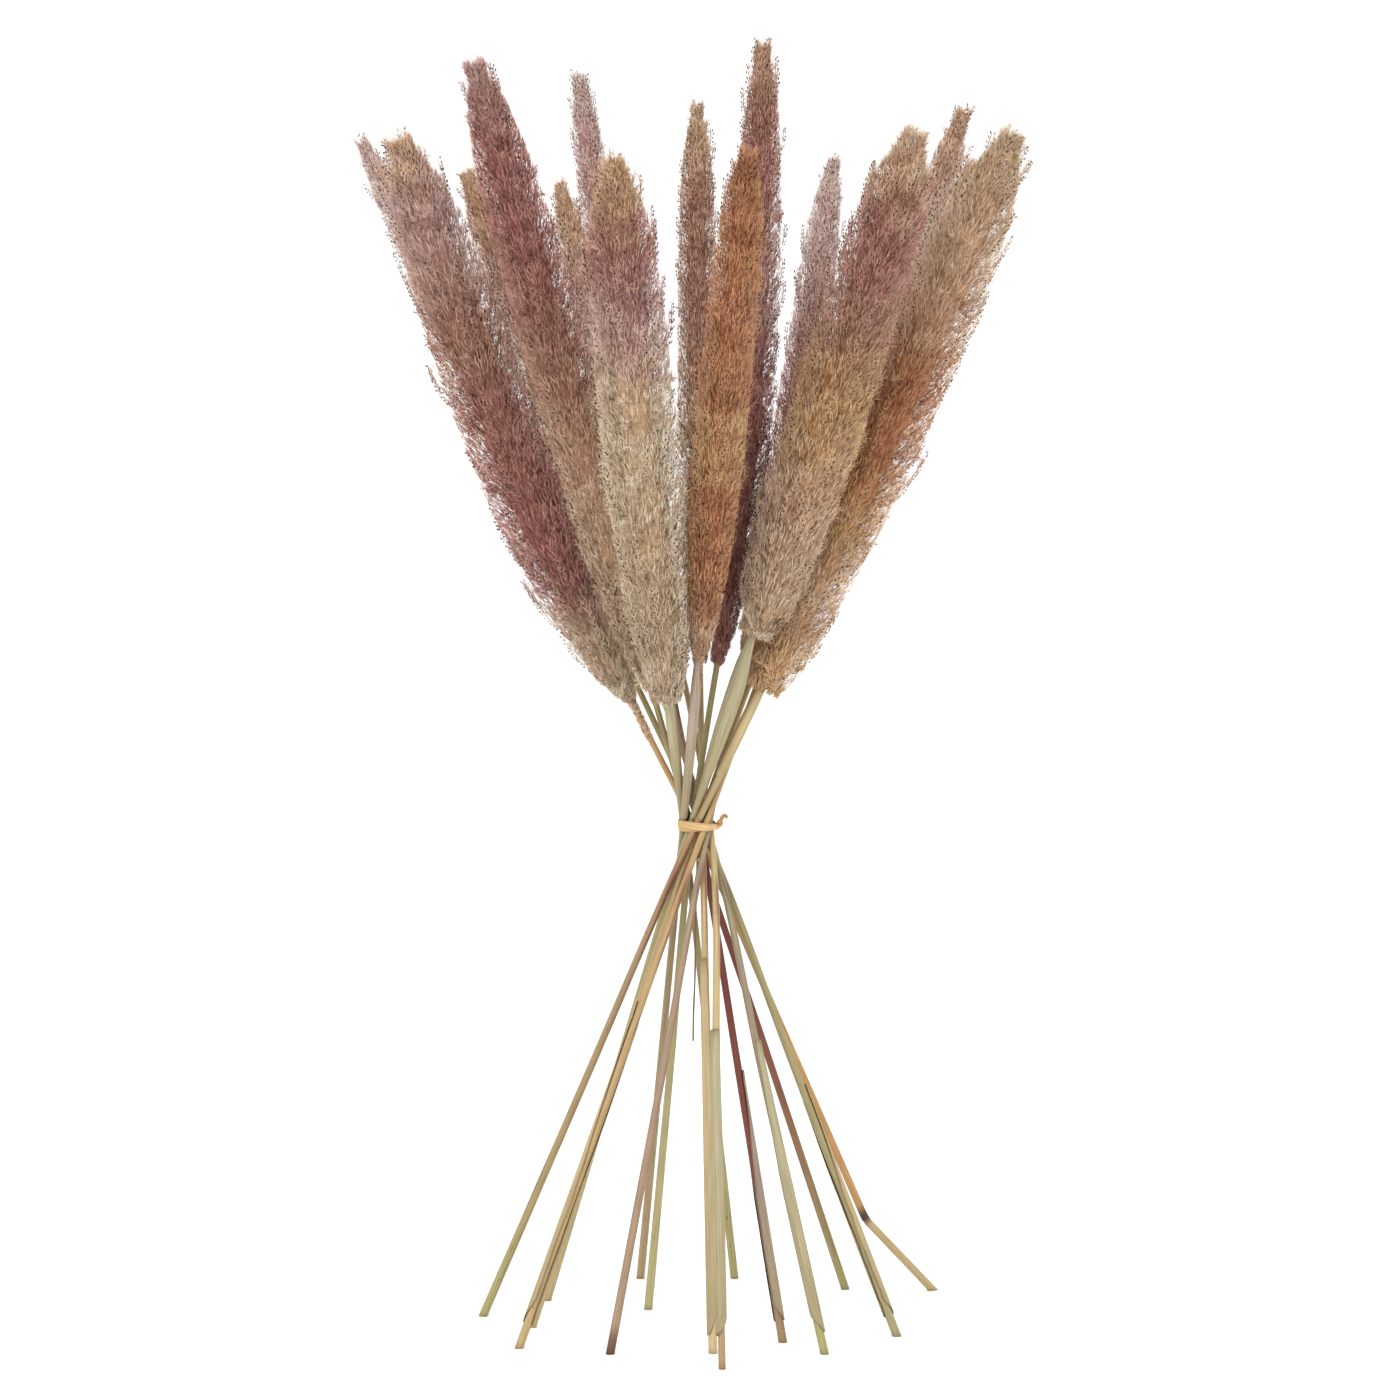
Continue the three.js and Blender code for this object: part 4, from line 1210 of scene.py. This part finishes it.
def felted_middle(rng, axis, plume):
    """The heart of a plume, where silk and stalk can't be told apart, in the painted shade of the hairs'
    roots.
    """
    places = np.linspace(-0.02, 0.97, CORE_RINGS) * axis.length
    wide = CORE * inner_width(plume) * outline_at(plume, places / axis.length)
    wide[[0, -1]] *= 0.3
    lumps = rng.uniform(0.7, 1.1, (CORE_RINGS, CORE_SIDES))
    points, faces, uv = sweep(axis.middle(places), round_sections(wide[:, None] * lumps, CORE_SIDES),
                              axis.right[len(axis.line) // 2])
    # Its colours are those of the hairs' roots, painted shade included: along the map here is up the plume.
    return points, faces, np.stack([uv[:, 1], 0.02 + 0.12 * uv[:, 0]], 1)


print("the felted middle takes", CORE, "of a plume's width")


# %% Growing one plume
def grow_plume(label, plume, seed):
    """The silk, the husks and the branchlets of one plume."""
    rng = np.random.default_rng(seed)
    axis = axes[label]
    grown = Branchlets(rng, axis, plume)
    twigs = grown.twigs(rng)
    rows, husks = husk_rows(rng, grown)
    fans = silk_fans(rng, plume, grown, rows)
    hairs = Hairs(*(np.concatenate(both) for both in zip(fans, undercoat(rng, axis, plume))))
    total = len(hairs.size)
    # A thick plume has longer silk than a thin one.
    size = hairs.size * np.interp(plume.width, [26 * MM, 50 * MM], [0.82, 1.05])
    radii = np.where(np.arange(total) < len(fans.size), SILK_RADIUS, FUR_RADIUS)
    radii = radii * rng.uniform(0.75, 1.2, total)
    tips = hairs.base + hairs.aim * size[:, None]
    across, pale = silk_tones(rng, axis, plume, hairs, tips)
    silk_parts = blades(hairs.base, tips, radii, across, pale, pale + TONE_SPAN, 0.0022)
    silk = mesh_from(f"plume_{label}_silk", [silk_parts, felted_middle(rng, axis, plume)],
                     [pampas_silk(label, plume.bands)] * 2)
    chaff = mesh_from(f"plume_{label}_husks", [husks, twigs], [husk, straw])
    for piece in (silk, chaff):
        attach(piece, "root")
        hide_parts("plume_" + label)
    print("plume", label, grown.count, "branchlets,", len(rows.owner), "husks,", total, "hairs")


# %% The fifteen plumes
PLUMES = {
    "01": Plume("plume_tan", 50 * MM, 330, 43000, 36, 0.2, 14 * MM, 0.2,
                [(0, "golden"), (0.18, "tan"), (0.3, "golden"), (0.42, "rust"), (0.56, "rust"), (0.68, "tan"),
                 (1, "beige")]),
    "02": Plume("plume_mauve", 30 * MM, 240, 26000, 28, 0.12, 0, 0.4,
                [(0, "beige"), (0.3, "mauve"), (0.5, "plum"), (0.7, "mauve"), (1, "tan")]),
    "03": Plume("plume_tan", 34 * MM, 240, 28000, 28, 0.12, 0, 0.4,
                [(0, "tan"), (0.25, "mauve"), (0.5, "rose"), (0.75, "rose"), (1, "tan")]),
    "04": Plume("plume_tan", 48 * MM, 330, 43000, 33, 0.16, 10 * MM, 0.25,
                [(0, "beige"), (0.25, "tan"), (0.45, "golden"), (0.62, "brown"), (0.78, "plum"), (0.9, "tan"),
                 (1, "cream")]),
    "05": Plume("plume_mauve", 27 * MM, 240, 25000, 26, 0.1, 0, 0.4,
                [(0, "tan"), (0.2, "mauve"), (0.45, "plum"), (0.7, "mauve"), (0.88, "rose"), (1, "rose")]),
    "06": Plume("plume_rust", 32 * MM, 280, 31000, 28, 0.12, 60 * MM, 0.7,
                [(0, "tan"), (0.15, "rust"), (0.34, "rust"), (0.42, "golden"), (0.5, "rust"), (0.66, "rust"),
                 (0.9, "rust"), (1, "rust")]),
    "07": Plume("plume_plum", 29 * MM, 280, 30000, 26, 0.12, 20 * MM, 0.5,
                [(0, "plum"), (0.45, "plum"), (0.62, "mauve"), (0.76, "plum"), (0.9, "brown"), (1, "tan")]),
    "08": Plume("plume_tan", 27 * MM, 260, 28000, 25, 0.08, 0, 0.4,
                [(0, "brown"), (0.2, "tan"), (0.42, "tan"), (0.58, "brown"), (0.8, "brown"), (0.9, "tan"),
                 (1, "beige")]),
    "09": Plume("plume_mauve", 26 * MM, 240, 24000, 25, 0.1, 0, 0.4,
                [(0, "beige"), (0.45, "mauve"), (0.8, "mauve"), (1, "rose")]),
    "10": Plume("plume_cream", 47 * MM, 330, 43000, 33, 0.14, 16 * MM, 0.45,
                [(0, "cream"), (0.3, "beige"), (0.45, "cream"), (0.58, "beige"), (0.68, "mauve"),
                 (0.82, "plum"), (0.92, "tan"), (1, "golden")]),
    "11": Plume("plume_tan", 26 * MM, 220, 22000, 26, 0.1, 0, 0.4,
                [(0, "cream"), (0.5, "beige"), (0.7, "mauve"), (0.88, "tan"), (1, "tan")]),
    "12": Plume("plume_tan", 32 * MM, 240, 27000, 28, 0.12, 0, 0.4,
                [(0, "cream"), (0.3, "beige"), (0.55, "beige"), (0.72, "mauve"), (0.82, "brown"),
                 (0.93, "tan"), (1, "tan")]),
    "13": Plume("plume_plum", 41 * MM, 300, 42000, 30, 0.14, 26 * MM, 0.6,
                [(0, "beige"), (0.34, "tan"), (0.5, "brown"), (0.66, "plum"), (0.84, "plum"), (1, "mauve")]),
    "14": Plume("plume_mauve", 27 * MM, 240, 24000, 26, 0.1, 0, 0.4,
                [(0, "beige"), (0.12, "plum"), (0.5, "plum"), (0.75, "mauve"), (0.9, "rose"), (1, "mauve")]),
    "15": Plume("plume_plum", 50 * MM, 340, 44000, 31, 0.16, 46 * MM, 0.7,
                [(0, "cream"), (0.1, "beige"), (0.22, "plum"), (0.42, "plum"), (0.66, "brown"),
                 (0.85, "mauve"), (0.95, "tan"), (1, "tan")]),
}
for index, (label, plume) in enumerate(PLUMES.items()):
    grow_plume(label, plume, 100 + index)
bpy.context.view_layer.update()


# %% Measure
visual_box = [list(corner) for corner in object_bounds()]
print("faces:", sum(len(o.data.polygons) for o in bpy.data.objects if o.type == "MESH" and not o.hide_render))
print("visual box", [[round(v, 4) for v in corner] for corner in visual_box])
